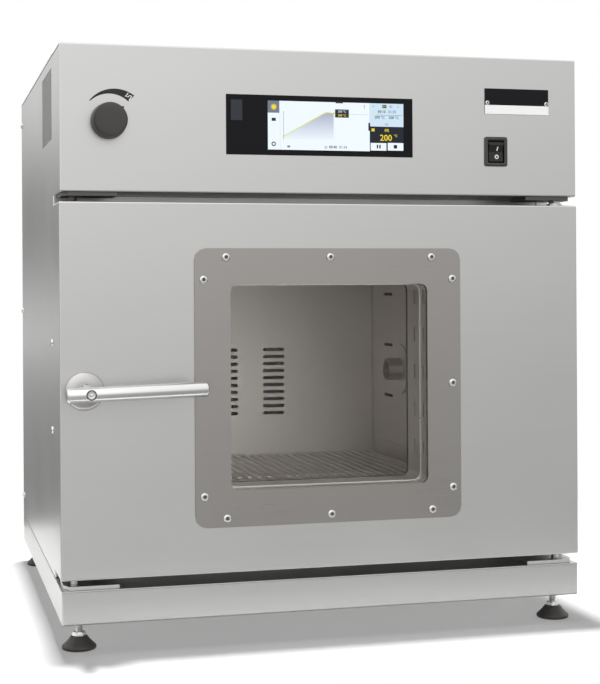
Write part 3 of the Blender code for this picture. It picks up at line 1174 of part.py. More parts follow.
def build_gasket():
    """The door gasket, a rounded ring around the chamber's mouth."""
    inner_w = CHAMBER_WIDTH + 2 * GASKET_SETBACK
    inner_h = CHAMBER_HEIGHT + 2 * GASKET_SETBACK
    outline = rounded_outline(inner_w + 2 * GASKET_WIDTH, inner_h + 2 * GASKET_WIDTH,
                              GASKET_RADIUS + GASKET_WIDTH)
    hole = rounded_outline(inner_w, inner_h, GASKET_RADIUS)
    return slab("door_gasket", [outline, hole], DOOR_BACK_Y + TOUCH, FRAME_FRONT_Y - TOUCH,
                0, DOOR_MID_Z, SILICONE)


def build_bush(name, face_z, inward):
    """A flanged hinge bush in the door's edge; inward is the way into the door."""
    flange_z = face_z - inward * BUSH_FLANGE_THICKNESS
    bush = span_rod(name, (HINGE_X, HINGE_Y, face_z - inward * (TOUCH + BUSH_FLANGE_THICKNESS / 2)),
                    (HINGE_X, HINGE_Y, face_z + inward * BUSH_LENGTH), BUSH_RADIUS, BRIGHT_STEEL,
                    SMALL_STEPS)
    add(bush, span_rod(name + "_flange", (HINGE_X, HINGE_Y, flange_z),
                       (HINGE_X, HINGE_Y, face_z - inward * TOUCH), BUSH_FLANGE_RADIUS,
                       steps=SMALL_STEPS))
    cut(bush, span_rod(name + "_bore", (HINGE_X, HINGE_Y, flange_z - inward * OVERRUN),
                       (HINGE_X, HINGE_Y, face_z + inward * (BUSH_LENGTH + OVERRUN)),
                       PIN_RADIUS + RUNNING_CLEARANCE, steps=SMALL_STEPS))
    return bush


def build_glazing(glass_w, glass_h):
    """Window frame, two panes, two slotted spacers and the seal between them."""
    opening = rounded_outline(WINDOW_WIDTH, WINDOW_HEIGHT, WINDOW_RADIUS)
    frame = slab("window_frame",
                 [rounded_outline(WINDOW_WIDTH + 2 * WINDOW_BAND, WINDOW_HEIGHT + 2 * WINDOW_BAND,
                                  WINDOW_FRAME_RADIUS), opening],
                 FRONT_Y - TOUCH - WINDOW_FRAME_SHEET, FRONT_Y - TOUCH, 0, DOOR_MID_Z, DARK_STEEL)
    pane = rounded_outline(glass_w, glass_h, WINDOW_RADIUS)
    outer_front = FRONT_Y
    outer_back = outer_front + GLASS_THICKNESS
    outer_glass = slab("outer_glass", [pane], outer_front, outer_back, 0, DOOR_MID_Z, CLEAR_GLASS)
    inner_back = DOOR_BACK_Y - SHEET - TOUCH
    inner_front = inner_back - GLASS_THICKNESS
    inner_glass = slab("inner_glass", [pane], inner_front, inner_back, 0, DOOR_MID_Z, CLEAR_GLASS)
    seal_front = outer_back + TOUCH + FRONT_SPACER_DEPTH + TOUCH
    seal_back = seal_front + GLAZING_SEAL_THICKNESS
    ring = rounded_outline(WINDOW_WIDTH + 2 * SPACER_SHEET, WINDOW_HEIGHT + 2 * SPACER_SHEET,
                           WINDOW_RADIUS + SPACER_SHEET)
    front_spacer = slab("window_spacer_front", [ring, opening], outer_back + TOUCH, seal_front - TOUCH,
                        0, DOOR_MID_Z, DARK_STEEL)
    rear_spacer = slab("window_spacer_rear", [ring, opening], seal_back + TOUCH, inner_front - TOUCH,
                       0, DOOR_MID_Z, DARK_STEEL)
    lip = rounded_outline(WINDOW_WIDTH - 2 * GLAZING_SEAL_LIP, WINDOW_HEIGHT - 2 * GLAZING_SEAL_LIP,
                          WINDOW_RADIUS)
    seal = slab("glazing_seal", [pane, lip], seal_front, seal_back, 0, DOOR_MID_Z, BRIGHT_STEEL)
    front_mid = (outer_back + seal_front) / 2
    cut(front_spacer, joined("front_spacer_slots", spacer_slots(front_mid)))
    cut(rear_spacer, joined("rear_spacer_slots", spacer_slots(seal_back + FRONT_SPACER_DEPTH)))
    return [frame, outer_glass, inner_glass, front_spacer, rear_spacer, seal]


def spacer_slots(mid_y):
    """Upright slots in both sides of a spacer."""
    slots = []
    highest = DOOR_MID_Z + WINDOW_HEIGHT / 2 - SPACER_SLOT_HEAD
    for side in (-1, 1):
        x_low, x_high = sorted((side * (WINDOW_WIDTH / 2 - OVERRUN / 4),
                                side * (WINDOW_WIDTH / 2 + SPACER_SHEET + OVERRUN)))
        for row in range(SPACER_SLOT_COUNT):
            z = highest - row * SPACER_SLOT_PITCH
            slots.append(box("slot", (x_low, mid_y - SPACER_SLOT_HEIGHT / 2, z - SPACER_SLOT_LENGTH / 2),
                             (x_high, mid_y + SPACER_SLOT_HEIGHT / 2, z + SPACER_SLOT_LENGTH / 2)))
    return slots


def build_handle(outer, pan):
    """Rosette, spindle, lever bar with its screw, and latch tongue."""
    place = (HANDLE_X, FRONT_Y - TOUCH, DOOR_MID_Z)
    bore = SPINDLE_RADIUS + RUNNING_CLEARANCE
    rosette = turned("handle_rosette",
                     [(bore, ROSETTE_THICKNESS - ROSETTE_DISH),
                      (ROSETTE_RADIUS - 2 * ROSETTE_RIM, ROSETTE_THICKNESS - ROSETTE_DISH),
                      (ROSETTE_RADIUS - ROSETTE_RIM, ROSETTE_THICKNESS),
                      (ROSETTE_RADIUS, ROSETTE_THICKNESS - ROSETTE_RIM), (ROSETTE_RADIUS, 0),
                      (bore, 0)],
                     place, (0, -1, 0), BRIGHT_STEEL)
    bar_y = FRONT_Y - HANDLE_STANDOFF
    lift = math.radians(HANDLE_LIFT_DEG)
    along = Vector((math.cos(lift), 0, math.sin(lift)))
    start = Vector((HANDLE_X, bar_y, DOOR_MID_Z)) - along * HANDLE_TAIL
    bar = turned("handle_lever",
                 [(0, HANDLE_LENGTH), (HANDLE_RADIUS - HANDLE_CHAMFER, HANDLE_LENGTH),
                  (HANDLE_RADIUS, HANDLE_LENGTH - HANDLE_CHAMFER), (HANDLE_RADIUS, HANDLE_CHAMFER),
                  (HANDLE_RADIUS - HANDLE_CHAMFER, 0), (0, 0)],
                 start, along, BRIGHT_STEEL)
    boss_end = FRONT_Y - 2 * TOUCH - ROSETTE_THICKNESS + ROSETTE_DISH
    add(bar, span_rod("lever_boss", (HANDLE_X, bar_y, DOOR_MID_Z), (HANDLE_X, boss_end, DOOR_MID_Z),
                      HANDLE_BOSS_RADIUS))
    cut(bar, span_rod("lever_bore", (HANDLE_X, bar_y, DOOR_MID_Z), (HANDLE_X, FRONT_Y, DOOR_MID_Z),
                      SPINDLE_RADIUS + TOUCH, steps=SMALL_STEPS))
    screw_front = bar_y - HANDLE_RADIUS
    cut(bar, span_rod("lever_screw_seat", (HANDLE_X, screw_front - OVERRUN, DOOR_MID_Z),
                      (HANDLE_X, bar_y + TOUCH, DOOR_MID_Z), HANDLE_SCREW_RADIUS + TOUCH,
                      steps=SMALL_STEPS))
    screw = span_rod("handle_screw", (HANDLE_X, screw_front, DOOR_MID_Z),
                     (HANDLE_X, bar_y, DOOR_MID_Z), HANDLE_SCREW_RADIUS, DARK_STEEL, SMALL_STEPS)
    latch_front = FRAME_BACK_Y + LATCH_SETBACK
    latch_back = latch_front + LATCH_THICKNESS
    spindle = span_rod("handle_spindle", (HANDLE_X, bar_y + TOUCH, DOOR_MID_Z),
                       (HANDLE_X, latch_front - TOUCH, DOOR_MID_Z), SPINDLE_RADIUS, STEEL, SMALL_STEPS)
    half = LATCH_WIDTH / 2
    latch = span_rod("latch_tongue", (HANDLE_X, latch_front, DOOR_MID_Z),
                     (HANDLE_X, latch_back, DOOR_MID_Z), LATCH_WIDTH - half / 2, DARK_STEEL, SMALL_STEPS)
    add(latch, box("tongue_finger", (HANDLE_X - LATCH_REACH, latch_front, DOOR_MID_Z - half),
                   (HANDLE_X, latch_back, DOOR_MID_Z + half)))
    for panel in (outer, pan):
        low_y = FRONT_Y if panel is outer else DOOR_BACK_Y
        cut(panel, rod(panel.name + "_spindle_hole", (HANDLE_X, low_y, DOOR_MID_Z), bore,
                       2 * OVERRUN, (0, 1, 0), steps=SMALL_STEPS))
    return rosette, bar, screw, spindle, latch


def build_strike():
    """The latch's strike, against the left side panel."""
    box("latch_strike", (-INNER_SIDE, FRAME_BACK_Y + TOUCH, DOOR_MID_Z - STRIKE_HEIGHT / 2),
        (STRIKE_THICKNESS - INNER_SIDE, FRAME_FRONT_Y + LATCH_POCKET_DEPTH - TOUCH,
         DOOR_MID_Z + STRIKE_HEIGHT / 2), DARK_STEEL)


for old in list(bpy.data.objects):
    bpy.data.objects.remove(old)
PARTS = new_collection("drying_oven")
CUTTERS = new_collection("cutters")

build_plinth()
build_case()
build_fascia()
build_chamber()
build_shelf()
build_air_system()
build_port()
build_exhaust()
build_electrics()
build_hinges()
build_door()
build_strike()
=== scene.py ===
"""Looks of the bench drying oven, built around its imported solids.

Pieces are drawn in the row frame with sizes in millimetres, and the helpers turn these into metres. The
floor, the lamps and the camera are in metres.
"""
import json
import math

import bmesh
import bpy
from mathutils import Matrix, Vector


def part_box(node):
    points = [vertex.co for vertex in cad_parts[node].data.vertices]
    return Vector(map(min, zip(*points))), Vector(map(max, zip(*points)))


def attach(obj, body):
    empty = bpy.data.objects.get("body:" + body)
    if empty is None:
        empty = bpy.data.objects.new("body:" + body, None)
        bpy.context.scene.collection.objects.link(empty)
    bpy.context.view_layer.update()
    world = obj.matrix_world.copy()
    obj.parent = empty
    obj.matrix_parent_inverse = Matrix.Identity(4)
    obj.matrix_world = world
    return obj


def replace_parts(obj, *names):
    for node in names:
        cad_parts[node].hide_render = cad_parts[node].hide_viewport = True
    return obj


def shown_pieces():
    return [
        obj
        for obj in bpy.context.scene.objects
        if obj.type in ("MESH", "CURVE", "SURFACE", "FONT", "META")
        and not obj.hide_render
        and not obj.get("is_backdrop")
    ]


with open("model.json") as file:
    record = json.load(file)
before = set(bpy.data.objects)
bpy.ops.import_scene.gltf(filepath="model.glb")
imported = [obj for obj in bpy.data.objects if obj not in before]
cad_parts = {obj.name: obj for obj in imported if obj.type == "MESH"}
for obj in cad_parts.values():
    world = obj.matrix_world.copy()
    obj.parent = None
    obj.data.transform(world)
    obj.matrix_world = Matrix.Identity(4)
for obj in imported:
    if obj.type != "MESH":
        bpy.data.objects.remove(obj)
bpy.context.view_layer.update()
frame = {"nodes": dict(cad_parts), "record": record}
NODES = frame["nodes"]

MM = 0.001
WELD = 0.001
LIFT = 0.1
SMOOTH_DEG = 35
FINE_STEPS = 48
SCREW_STEPS = 24
KNOB_STEPS = 72
WIRE_STEPS = 3
TEXT_STEPS = 3
TEXT_WEIGHT = 0.012
FORWARD = (0, -1, 0)
BACKWARD = (0, 1, 0)
UPWARD = (0, 0, 1)
SIDES = (-1, 1)

# Screws: radius and height, and profiles in shares of them. A third number in a profile counts sides.
WINDOW_SCREW = (4.8, 2.4)
PANEL_SCREW = (4.2, 2.2)
TOP_SCREW = (4.0, 1.6)
INLET_SCREW = (3.0, 1.8)
PLATE_SCREW = (2.6, 1.6)
SOCKET_SHARE = 0.46
SCREW_HEAD = ((1, 0), (1, 0.30), (0.93, 0.62), (0.80, 0.88), (0.64, 1))
SCREW_HOLE = ((1.08, 1), (1, 0.97, 6), (1, 0.40, 6), (0.55, 0.30))
# The last profile is painted shade: a dark hexagon prism in each socket that stands in for the shade of its
# hollow.
SCREW_PAINTED_SHADE = ((0.97, 0.45, 6), (0.97, 0.80, 6), (0.50, 0.76, 6))

# Screws, plates and pins, from the edges of their solids
WINDOW_INSET = 10.0
WINDOW_CORNER_X = 25.5
WINDOW_CORNER_Z = 25.0
SIDE_FRONT_INSET = 12.0
SIDE_FRONT_REACH = 50.0
SIDE_REAR_INSET = 14.0
SIDE_END_INSET = 30.0
REAR_INSET = 12.0
TOP_SIDE_INSET = 14.0
TOP_END_INSET = 40.0
RATING_PLATE_PLACE = (60.0, 90.0)
RATING_PLATE_SIZE = (90.0, 4 * LIFT, 50.0)
PIN_PLACES = ((-7, -2), (0, 2), (7, -2))
PIN_LOW = (-1, -17.5, -2)
PIN_HIGH = (1, -4, 2)
PIN_BEVEL = 0.4
INLET_SCREW_REACH = 19.5
STRIP_HEIGHT = 10.3
PLATE_SCREW_LEFT = 2.8
PLATE_SCREW_RIGHT = 3.2
PLATE_SCREW_RISE = 12.8
SIDE_LABEL_INSET = 15.0
SIDE_LABEL_DROP = 94.5
SIDE_LABEL_DEPTH = 116.0
SIDE_LABEL_HEIGHT = 81.5
# Painted shadow lines along the fascia's top edges: inset from its front, and the drop of their lower and
# upper edges from its top.
SEAM_INSET = 2.4
SEAM_LOW = 3.0
SEAM_HIGH = 1.8

# Feet: the pad as (share of its radius, height), and the nuts from the floor or from the plinth
FOOT_PAD = ((0.90, 0), (0.98, 0.8), (1, 1.6), (1, 3.6), (0.97, 4.4), (0.86, 6.2), (0.66, 10),
            (0.53, 13.2), (0.50, 14), (0.44, 14.4))
FOOT_NUT = ((6.9, 14.2, 6), (7.7, 14.8, 6), (7.7, 18.2, 6), (6.6, 19.2), (4.4, 19.4), (4.4, 19.6))
LOCK_NUT = ((5.2, -4.9, 6), (6.4, -4.3, 6), (7.6, -1.2, 6), (7.6, -0.4, 6))
THREAD_START = 19.3
THREAD_END = 5.0
THREAD_PITCH = 1.25
THREAD_RISE = 0.5
THREAD_ROOT = 3.5
THREAD_CREST = 4.0
STUD_RADIUS = 3.8
STUD_TIP_RADIUS = 3.2
STUD_CHAMFER_HEIGHT = 0.5

# Handle: profiles as (radius, distance from the bar's end, the neck's foot or the screw's seat)
LEVER_RADIUS = 8.0
LEVER_START = ((0.6, 0), (5.7, 0), (8, 2.3))
LEVER_END = ((8, -2.4), (7.5, -1.2), (6.4, -0.4), (5, -0.2))
NECK = ((8.1, 0), (8.5, 0.5), (8.5, 30))
NECK_GAP = 0.9
NECK_TIP = 1.0
NECK_TIP_RADIUS = 7.2
# Painted shadow: a dark flat ring in the gap round the lever screw's head, and its depth into the bar.
LEVER_SCREW_RING_SHADOW = ((4.5, 0), (5.5, 0), (5.5, 0.5), (4.5, 0.5))
LEVER_SCREW_RING_SHADOW_DEPTH = 0.2
LEVER_SCREW = ((4.4, -6), (4.4, -0.1), (4.1, 0.4), (2.7, 0.4), (2.35, 0.2, 6), (2.35, -2.2, 6), (1, -2.8))
# The last profile is painted shade: a dark hexagon prism in the lever screw's socket, for the shade of its
# hollow.
LEVER_SCREW_PAINTED_SHADE = ((2.25, -2, 6), (2.25, -0.5, 6), (1.2, -0.7, 6))
ROSETTE_HOLE = 6.8
ROSETTE_EDGE = 0.4
ROSETTE_FACE = ((0, 0.48), (0.5, 0.58), (2.4, 0.72), (6, 0.84), (10, 0.91))
# The set screws are drawn in painted shade, for the holes they sit in.
SET_SCREW = ((1.4, 0), (1.4, 0.3), (0.9, 0.4))
SET_SCREW_DEGREES = (126, 92)
SET_SCREW_REACH = 8.4
SET_SCREW_AHEAD = 14.0

# Vent knob: its face as (inset, drop), its pointer corner and its printed scale
KNOB_FOOT = 1.2
KNOB_FACE = ((1.1, 3.2), (1.4, 1.9), (2.2, 1.15), (3.6, 0.8), (8, 0.35), (13, 0.1))
KNOB_CROWN = 1.0
POINTER_ROOT = 4.0
POINTER_OVERHANG = 0.3
POINTER_FRONT = 1.3
POINTER_BACK = 5.5
POINTER_BEVEL = 0.3
SCALE_OUTER = ((-21.1, 21.9), (5.4, 35.5), (28.4, 28.4))
SCALE_INNER = ((-20.0, 21.4), (2.6, 29.9), (21.8, 21.7))
SCALE_MARK = ((21.8, 31.2), (18.5, 27.4), (21.2, 26.8), (23.2, 28.3), (25.6, 27.8), (22.6, 22.9))
SCALE_MARK_WIDTH = 1.2

# Display
PRINT_DEPTH = 0.7 * LIFT
CURVE_FADE = 14.0
SUN_PLACE = (-55.0, 20.5)

# Switch: the bezel's face as (inset, corner radius, depth), the rocker's side as (along, ahead)
BEZEL_BODY = 2.8
BEZEL_BODY_RADIUS = 0.6
BEZEL_RADIUS = 2.6
BEZEL_FACE = ((0, 2.6, 1), (0.5, 2.2, 0.5), (1.6, 1.8, 0.3), (2.0, 1.7, 0), (2.7, 1.6, 0), (3.3, 1.5, 0.4),
              (4, 1.2, 0.7))
BEZEL_FLOOR = 6.0
ROCKER_PIVOT_DEPTH = 6.0
ROCKER_SIDE = ((0, 3.8), (8.4, 5.44), (12.1, 2.6), (12.75, 0), (11.25, -6), (-11.25, -6), (-12.75, 0),
               (-11.6, 4.6), (-10.8, 5.9))
ROCKER_BEVEL = 1.1
ROCKER_BEVEL_START = 3.0
STROKE_MARK = ((0.7, 1.5), (1.8, 1.5), (2.6, 6.6), (1.5, 6.6))
RING_MARK = ((1.3, 0), (2.5, 0), (2.5, 2 * LIFT), (1.3, 2 * LIFT))
RING_MARK_X = 1.0
RING_MARK_Z = -5.6

# Hinge washer and nut
WASHER = ((4.4, 0), (9, 0), (9, 1.2), (4.4, 1.2))
WASHER_GAP = 0.2
HINGE_NUT = ((4.4, 0, 6), (7.6, 0, 6), (7.6, 2.2, 6), (4.4, 2.2, 6))
HINGE_NUT_DROP = 6.3

# Shelf
RIM_RADIUS = 2.4
RIM_CORNER = 14.0
WIRE_RADIUS = 1.4
WIRE_COUNT = 27
WIRE_RISE = 0.6
CROSS_BAR_RADIUS = 1.54
CROSS_BAR_DROP = 1.2
CROSS_BAR_SHARES = (0.25, 0.75)

# Camera
CAMERA_PLACE = (-0.4569, -1.8656, 0.3986)
CAMERA_YAW_DEG = 14.5213
CAMERA_ROLL_DEG = -0.3227
CAMERA_SENSOR = 36.0
CAMERA_LENS = 77.07
CAMERA_SHIFT = (0.0092, -0.0814)

# Floor, in metres: the main piece, and the piece under the open door
FLOOR_HALF = 0.62
FLOOR_FRONT_Y = -0.45
SWING_LEFT_X = 0.25
SWING_RIGHT_X = 0.98
SWING_FRONT_Y = -0.98
FLOOR_COLOUR = 0.80
FLOOR_GLOW = 0.25

# Lamps
KEY_SIZE = 0.5
KEY_PLACE = (-0.10, 0.42, 9.0)
KEY_TARGET = (0, 0, 0)
KEY_POWER = 980.0
FILL_SIZE = 2.4
FILL_PLACE = (0.6, -3.2, 0.75)
FILL_TARGET = (0, 0, 0.35)
FILL_POWER = 105.0

# World: its plain level, and what polished steel sees, as (azimuth in degrees or rise, level)
WORLD_FILL = 0.12
FRONT_ACROSS = ((-180, 0.95), (-60, 1.0), (-15, 1.08), (6, 1.02), (26, 0.76), (60, 0.66), (110, 0.85),
                (180, 0.95))
FRONT_UP = ((-1.0, 0.50), (-0.35, 0.57), (-0.15, 0.68), (-0.06, 0.82), (-0.02, 0.93), (0.05, 1.10),
            (0.12, 1.33), (0.30, 1.47), (0.60, 1.7), (1.0, 1.9))
REAR_UP = ((-0.25, 0.10), (-0.16, 0.13), (-0.14, 0.22), (-0.07, 0.30), (-0.05, 0.55), (-0.037, 1.10),
           (-0.023, 0.90), (0.003, 0.50), (0.030, 0.18), (0.060, 0.18), (0.086, 0.52), (0.113, 0.95),
           (0.25, 1.2))
REAR_SHARE = ((-180, 1.0), (-135, 1.0), (-110, 0.0), (135, 0.0), (160, 1.0), (180, 1.0))

# Colours, linear
CASE_COLOUR = (0.56, 0.56, 0.55)
# Painted shade: the plinth is the case's steel, made darker to stand for the dimmer light it reflects near
# the floor.
PLINTH_SHADE_PAINT_COLOUR = (0.49, 0.49, 0.48)
WINDOW_COLOUR = (0.35, 0.335, 0.32)
LINER_COLOUR = (0.81, 0.775, 0.74)
SPACER_COLOUR = (0.58, 0.55, 0.52)
SEAL_COLOUR = (0.74, 0.72, 0.69)
BRIGHT_COLOUR = (0.70, 0.70, 0.69)
SCREW_COLOUR = (0.64, 0.64, 0.63)
# Painted shade for hollows: screw sockets, set-screw holes and the gap round the lever screw.
SOCKET_SHADE_PAINT_COLOUR = (0.06, 0.06, 0.058)
SHELF_COLOUR = (0.72, 0.70, 0.675)
ROSETTE_COLOUR = (0.47, 0.46, 0.45)
DARK_METAL = (0.36, 0.35, 0.34)
# Painted shade: the upper hinge plates are the same steel as the lower ones, darkened for the shaded gap
# above the door.
HINGE_SHADE_PAINT_COLOUR = (0.11, 0.105, 0.10)
GALVANISED_COLOUR = (0.55, 0.57, 0.58)
MOTOR_COLOUR = (0.28, 0.29, 0.30)
# Grey rock wool, partly painted shade: darker than the wool is, so that the window spacers' slots, through
# which it shows, look shaded.
WOOL_AND_SLOT_SHADE_COLOUR = (0.16, 0.15, 0.13)
SILICONE_COLOUR = (0.35, 0.12, 0.08)
GLASS_TINT = (0.990, 0.988, 0.982)
BLACK = (0.0045, 0.0045, 0.006)
BLACK_PLASTIC = (0.020, 0.020, 0.021)
BEZEL_BLACK = (0.030, 0.029, 0.027)
ROCKER_BLACK = (0.010, 0.0095, 0.009)
KNOB_GREY = (0.045, 0.042, 0.039)
COVER_BLUE = (0.008, 0.011, 0.018)
BOARD_GREEN = (0.03, 0.16, 0.06)
RUBBER = (0.026, 0.024, 0.022)
PLATE_SILVER = (0.70, 0.71, 0.70)
LABEL_PALE = (0.60, 0.60, 0.59)
PRINT_DARK = (0.030, 0.028, 0.025)
PRINT_PALE = (0.66, 0.66, 0.64)
# Painted shadow for the gap under the top cover at the fascia's edges.
SEAM_SHADOW_PAINT_COLOUR = (0.02, 0.02, 0.02)

# Shading
NOISE_LOW = 0.25
NOISE_HIGH = 0.75
SMUDGE_DETAIL = 5.0
CELL_ROUGH_SPREAD = 0.08
GLASS_ROUGHNESS = 0.03
GLASS_IOR = 1.18
GLASS_SMEAR_SCALE = 9.0
GLASS_SMEAR_DETAIL = 4.0
GLASS_SMEAR_SPREAD = 0.02
SCREEN_GLOW = 0.75
SCREEN_ROUGHNESS = 0.12
SCREEN_SPECULAR = 0.25
SCREEN_DOT_SCALE = 2500.0
SCREEN_DOT_SPREAD = 0.015
RING_BRUSH = 0.7

# Angles at rest, as in the solids
LEVER_LIFT_DEG = 1.5
ROCKER_TILT_DEG = 7.0
ROCKER_VEE_DEG = 11.05


def linear(red, green, blue):
    """Linear colour from the eight-bit values of a screen."""
    channels = []
    for value in (red, green, blue):
        share = value / 255
        channels.append(share / 12.92 if share <= 0.04045 else ((share + 0.055) / 1.055) ** 2.4)
    return tuple(channels)


def new_material(name):
    """An empty node material: its nodes, its links and its output."""
    material = bpy.data.materials.new(name)
    material.use_nodes = True
    nodes = material.node_tree.nodes
    nodes.clear()
    output = nodes.new("ShaderNodeOutputMaterial")
    return material, nodes, material.node_tree.links, output


def feed(links, socket, value):
    """Give a socket another node's output, or a plain value."""
    if isinstance(value, bpy.types.NodeSocket):
        links.new(value, socket)
    else:
        socket.default_value = value


def calculated(nodes, links, operation, first, second):
    """The result of a sum on two values."""
    node = nodes.new("ShaderNodeMath")
    node.operation = operation
    feed(links, node.inputs[0], first)
    feed(links, node.inputs[1], second)
    return node.outputs["Value"]


def mixed(nodes, links, factor, first, second, kind="FLOAT"):
    """A mix of two values or colours."""
    node = nodes.new("ShaderNodeMix")
    node.data_type = kind
    feed(links, node.inputs["Factor"], factor)
    feed(links, node.inputs["A"], first)
    feed(links, node.inputs["B"], second)
    return node.outputs["Result"]


def ranged(nodes, links, value, low, high, to_low=0.0, to_high=1.0):
    """A value mapped from one range to another."""
    node = nodes.new("ShaderNodeMapRange")
    for name, number in (("From Min", low), ("From Max", high), ("To Min", to_low), ("To Max", to_high)):
        node.inputs[name].default_value = number
    links.new(value, node.inputs["Value"])
    return node.outputs["Result"]


def noise_from(nodes, links, scale, stretch=(1, 1, 1), detail=3.0):
    """A noise texture in the object's own coordinates, stretched along its axes."""
    place = nodes.new("ShaderNodeTexCoord")
    mapping = nodes.new("ShaderNodeMapping")
    mapping.inputs["Scale"].default_value = stretch
    noise = nodes.new("ShaderNodeTexNoise")
    noise.inputs["Scale"].default_value = scale
    noise.inputs["Detail"].default_value = detail
    links.new(place.outputs["Object"], mapping.inputs["Vector"])
    links.new(mapping.outputs["Vector"], noise.inputs["Vector"])
    return noise.outputs["Fac"]


def spread_value(nodes, links, value, middle, spread):
    """A noise value mapped to either side of a middle value."""
    return ranged(nodes, links, value, NOISE_LOW, NOISE_HIGH, middle - spread, middle + spread)


def shaded(nodes, links, value, colour, spread):
    """The colour, a little darker and lighter with a value."""
    darker = (*[channel * (1 - spread) for channel in colour], 1)
    lighter = (*[min(1, channel * (1 + spread)) for channel in colour], 1)
    return mixed(nodes, links, value, darker, lighter, "RGBA")


def finish(name, colour, roughness, metallic=0.0, scale=40.0, stretch=(1, 1, 1), spread=0.05,
           rough_spread=0.05, bump=0.1, bump_depth=0.00005, cloud=6.0, specular=0.5):
    """A surface with a fine grain that moves its colour, roughness and relief, and wide soft smudges."""
    material, nodes, links, output = new_material(name)
    shader = nodes.new("ShaderNodeBsdfPrincipled")
    shader.inputs["Metallic"].default_value = metallic
    shader.inputs["Specular IOR Level"].default_value = specular
    grain = noise_from(nodes, links, scale, stretch)
    smudge = noise_from(nodes, links, cloud, detail=SMUDGE_DETAIL)
    total = calculated(nodes, links, "ADD", grain, smudge)
    both = calculated(nodes, links, "MULTIPLY", total, 0.5)
    links.new(shaded(nodes, links, both, colour, spread), shader.inputs["Base Color"])
    links.new(spread_value(nodes, links, both, roughness, rough_spread), shader.inputs["Roughness"])
    relief = nodes.new("ShaderNodeBump")
    relief.inputs["Strength"].default_value = bump
    relief.inputs["Distance"].default_value = bump_depth
    links.new(grain, relief.inputs["Height"])
    links.new(relief.outputs["Normal"], shader.inputs["Normal"])
    links.new(shader.outputs["BSDF"], output.inputs["Surface"])
    return material


def cellular(name, colour, roughness, metallic, scale, spread):
    """Zinc spangle or board print: cells of slightly different shade and gloss."""
    material, nodes, links, output = new_material(name)
    shader = nodes.new("ShaderNodeBsdfPrincipled")
    shader.inputs["Metallic"].default_value = metallic
    place = nodes.new("ShaderNodeTexCoord")
    cells = nodes.new("ShaderNodeTexVoronoi")
    cells.inputs["Scale"].default_value = scale
    links.new(place.outputs["Object"], cells.inputs["Vector"])
    tone = nodes.new("ShaderNodeSeparateColor")
    links.new(cells.outputs["Color"], tone.inputs["Color"])
    links.new(shaded(nodes, links, tone.outputs["Red"], colour, spread), shader.inputs["Base Color"])
    links.new(spread_value(nodes, links, tone.outputs["Green"], roughness, CELL_ROUGH_SPREAD),
              shader.inputs["Roughness"])
    links.new(shader.outputs["BSDF"], output.inputs["Surface"])
    return material


def clear_glass(name):
    """Window glass: clear, with a weak reflection that grows towards grazing angles."""
    material, nodes, links, output = new_material(name)
    clear = nodes.new("ShaderNodeBsdfTransparent")
    smear = noise_from(nodes, links, GLASS_SMEAR_SCALE, detail=GLASS_SMEAR_DETAIL)
    links.new(shaded(nodes, links, smear, GLASS_TINT, GLASS_SMEAR_SPREAD), clear.inputs["Color"])
    gloss = nodes.new("ShaderNodeBsdfGlossy")
    gloss.inputs["Roughness"].default_value = GLASS_ROUGHNESS
    angle = nodes.new("ShaderNodeFresnel")
    angle.inputs["IOR"].default_value = GLASS_IOR
    mix = nodes.new("ShaderNodeMixShader")
    links.new(angle.outputs["Fac"], mix.inputs["Fac"])
    links.new(clear.outputs["BSDF"], mix.inputs[1])
    links.new(gloss.outputs["BSDF"], mix.inputs[2])
    links.new(mix.outputs["Shader"], output.inputs["Surface"])
    return material


def new_screen(name):
    """A lit material under the display's glass: its nodes, its links and its shader."""
    material, nodes, links, output = new_material(name)
    shader = nodes.new("ShaderNodeBsdfPrincipled")
    shader.inputs["Roughness"].default_value = SCREEN_ROUGHNESS
    shader.inputs["Specular IOR Level"].default_value = SCREEN_SPECULAR
    shader.inputs["Emission Strength"].default_value = SCREEN_GLOW
    links.new(shader.outputs["BSDF"], output.inputs["Surface"])
    return material, nodes, links, shader


def lit(name, colour):
    """A lit patch of the display."""
    material, nodes, links, shader = new_screen(name)
    dots = noise_from(nodes, links, SCREEN_DOT_SCALE, detail=1.0)
    tone = shaded(nodes, links, dots, colour, SCREEN_DOT_SPREAD)
    dim = mixed(nodes, links, 1 - SCREEN_GLOW, (0, 0, 0, 1), tone, "RGBA")
    links.new(dim, shader.inputs["Base Color"])
    links.new(tone, shader.inputs["Emission Color"])
    return material


def fading(name, top, foot, high_z, low_z):
    """A lit patch that fades from one colour at the top to another at its foot."""
    material, nodes, links, shader = new_screen(name)
    shader.inputs["Base Color"].default_value = (*[channel * (1 - SCREEN_GLOW) for channel in foot], 1)
    place = nodes.new("ShaderNodeTexCoord")
    parts = nodes.new("ShaderNodeSeparateXYZ")
    links.new(place.outputs["Object"], parts.inputs["Vector"])
    rise = ranged(nodes, links, parts.outputs["Z"], low_z * MM, high_z * MM)
    links.new(mixed(nodes, links, rise, (*foot, 1), (*top, 1), "RGBA"), shader.inputs["Emission Color"])
    return material


def brush_in_rings(material, axis):
    """Brush a metal in circles about an axis, so its gloss gathers in two fans."""
    nodes, links = material.node_tree.nodes, material.node_tree.links
    shader = [node for node in nodes if node.type == "BSDF_PRINCIPLED"][0]
    shader.inputs["Anisotropic"].default_value = RING_BRUSH
    rings = nodes.new("ShaderNodeTangent")
    rings.direction_type = "RADIAL"
    rings.axis = axis
    links.new(rings.outputs["Tangent"], shader.inputs["Tangent"])


SATIN = {"metallic": 1.0, "scale": 1.0, "bump": 0.12, "cloud": 5.0}
FINE_PLASTIC = {"scale": 2200.0, "spread": 0.10, "bump_depth": 0.00004, "cloud": 60.0}
CASE = finish("case_satin", CASE_COLOUR, 0.33, stretch=(9, 9, 900), **SATIN)
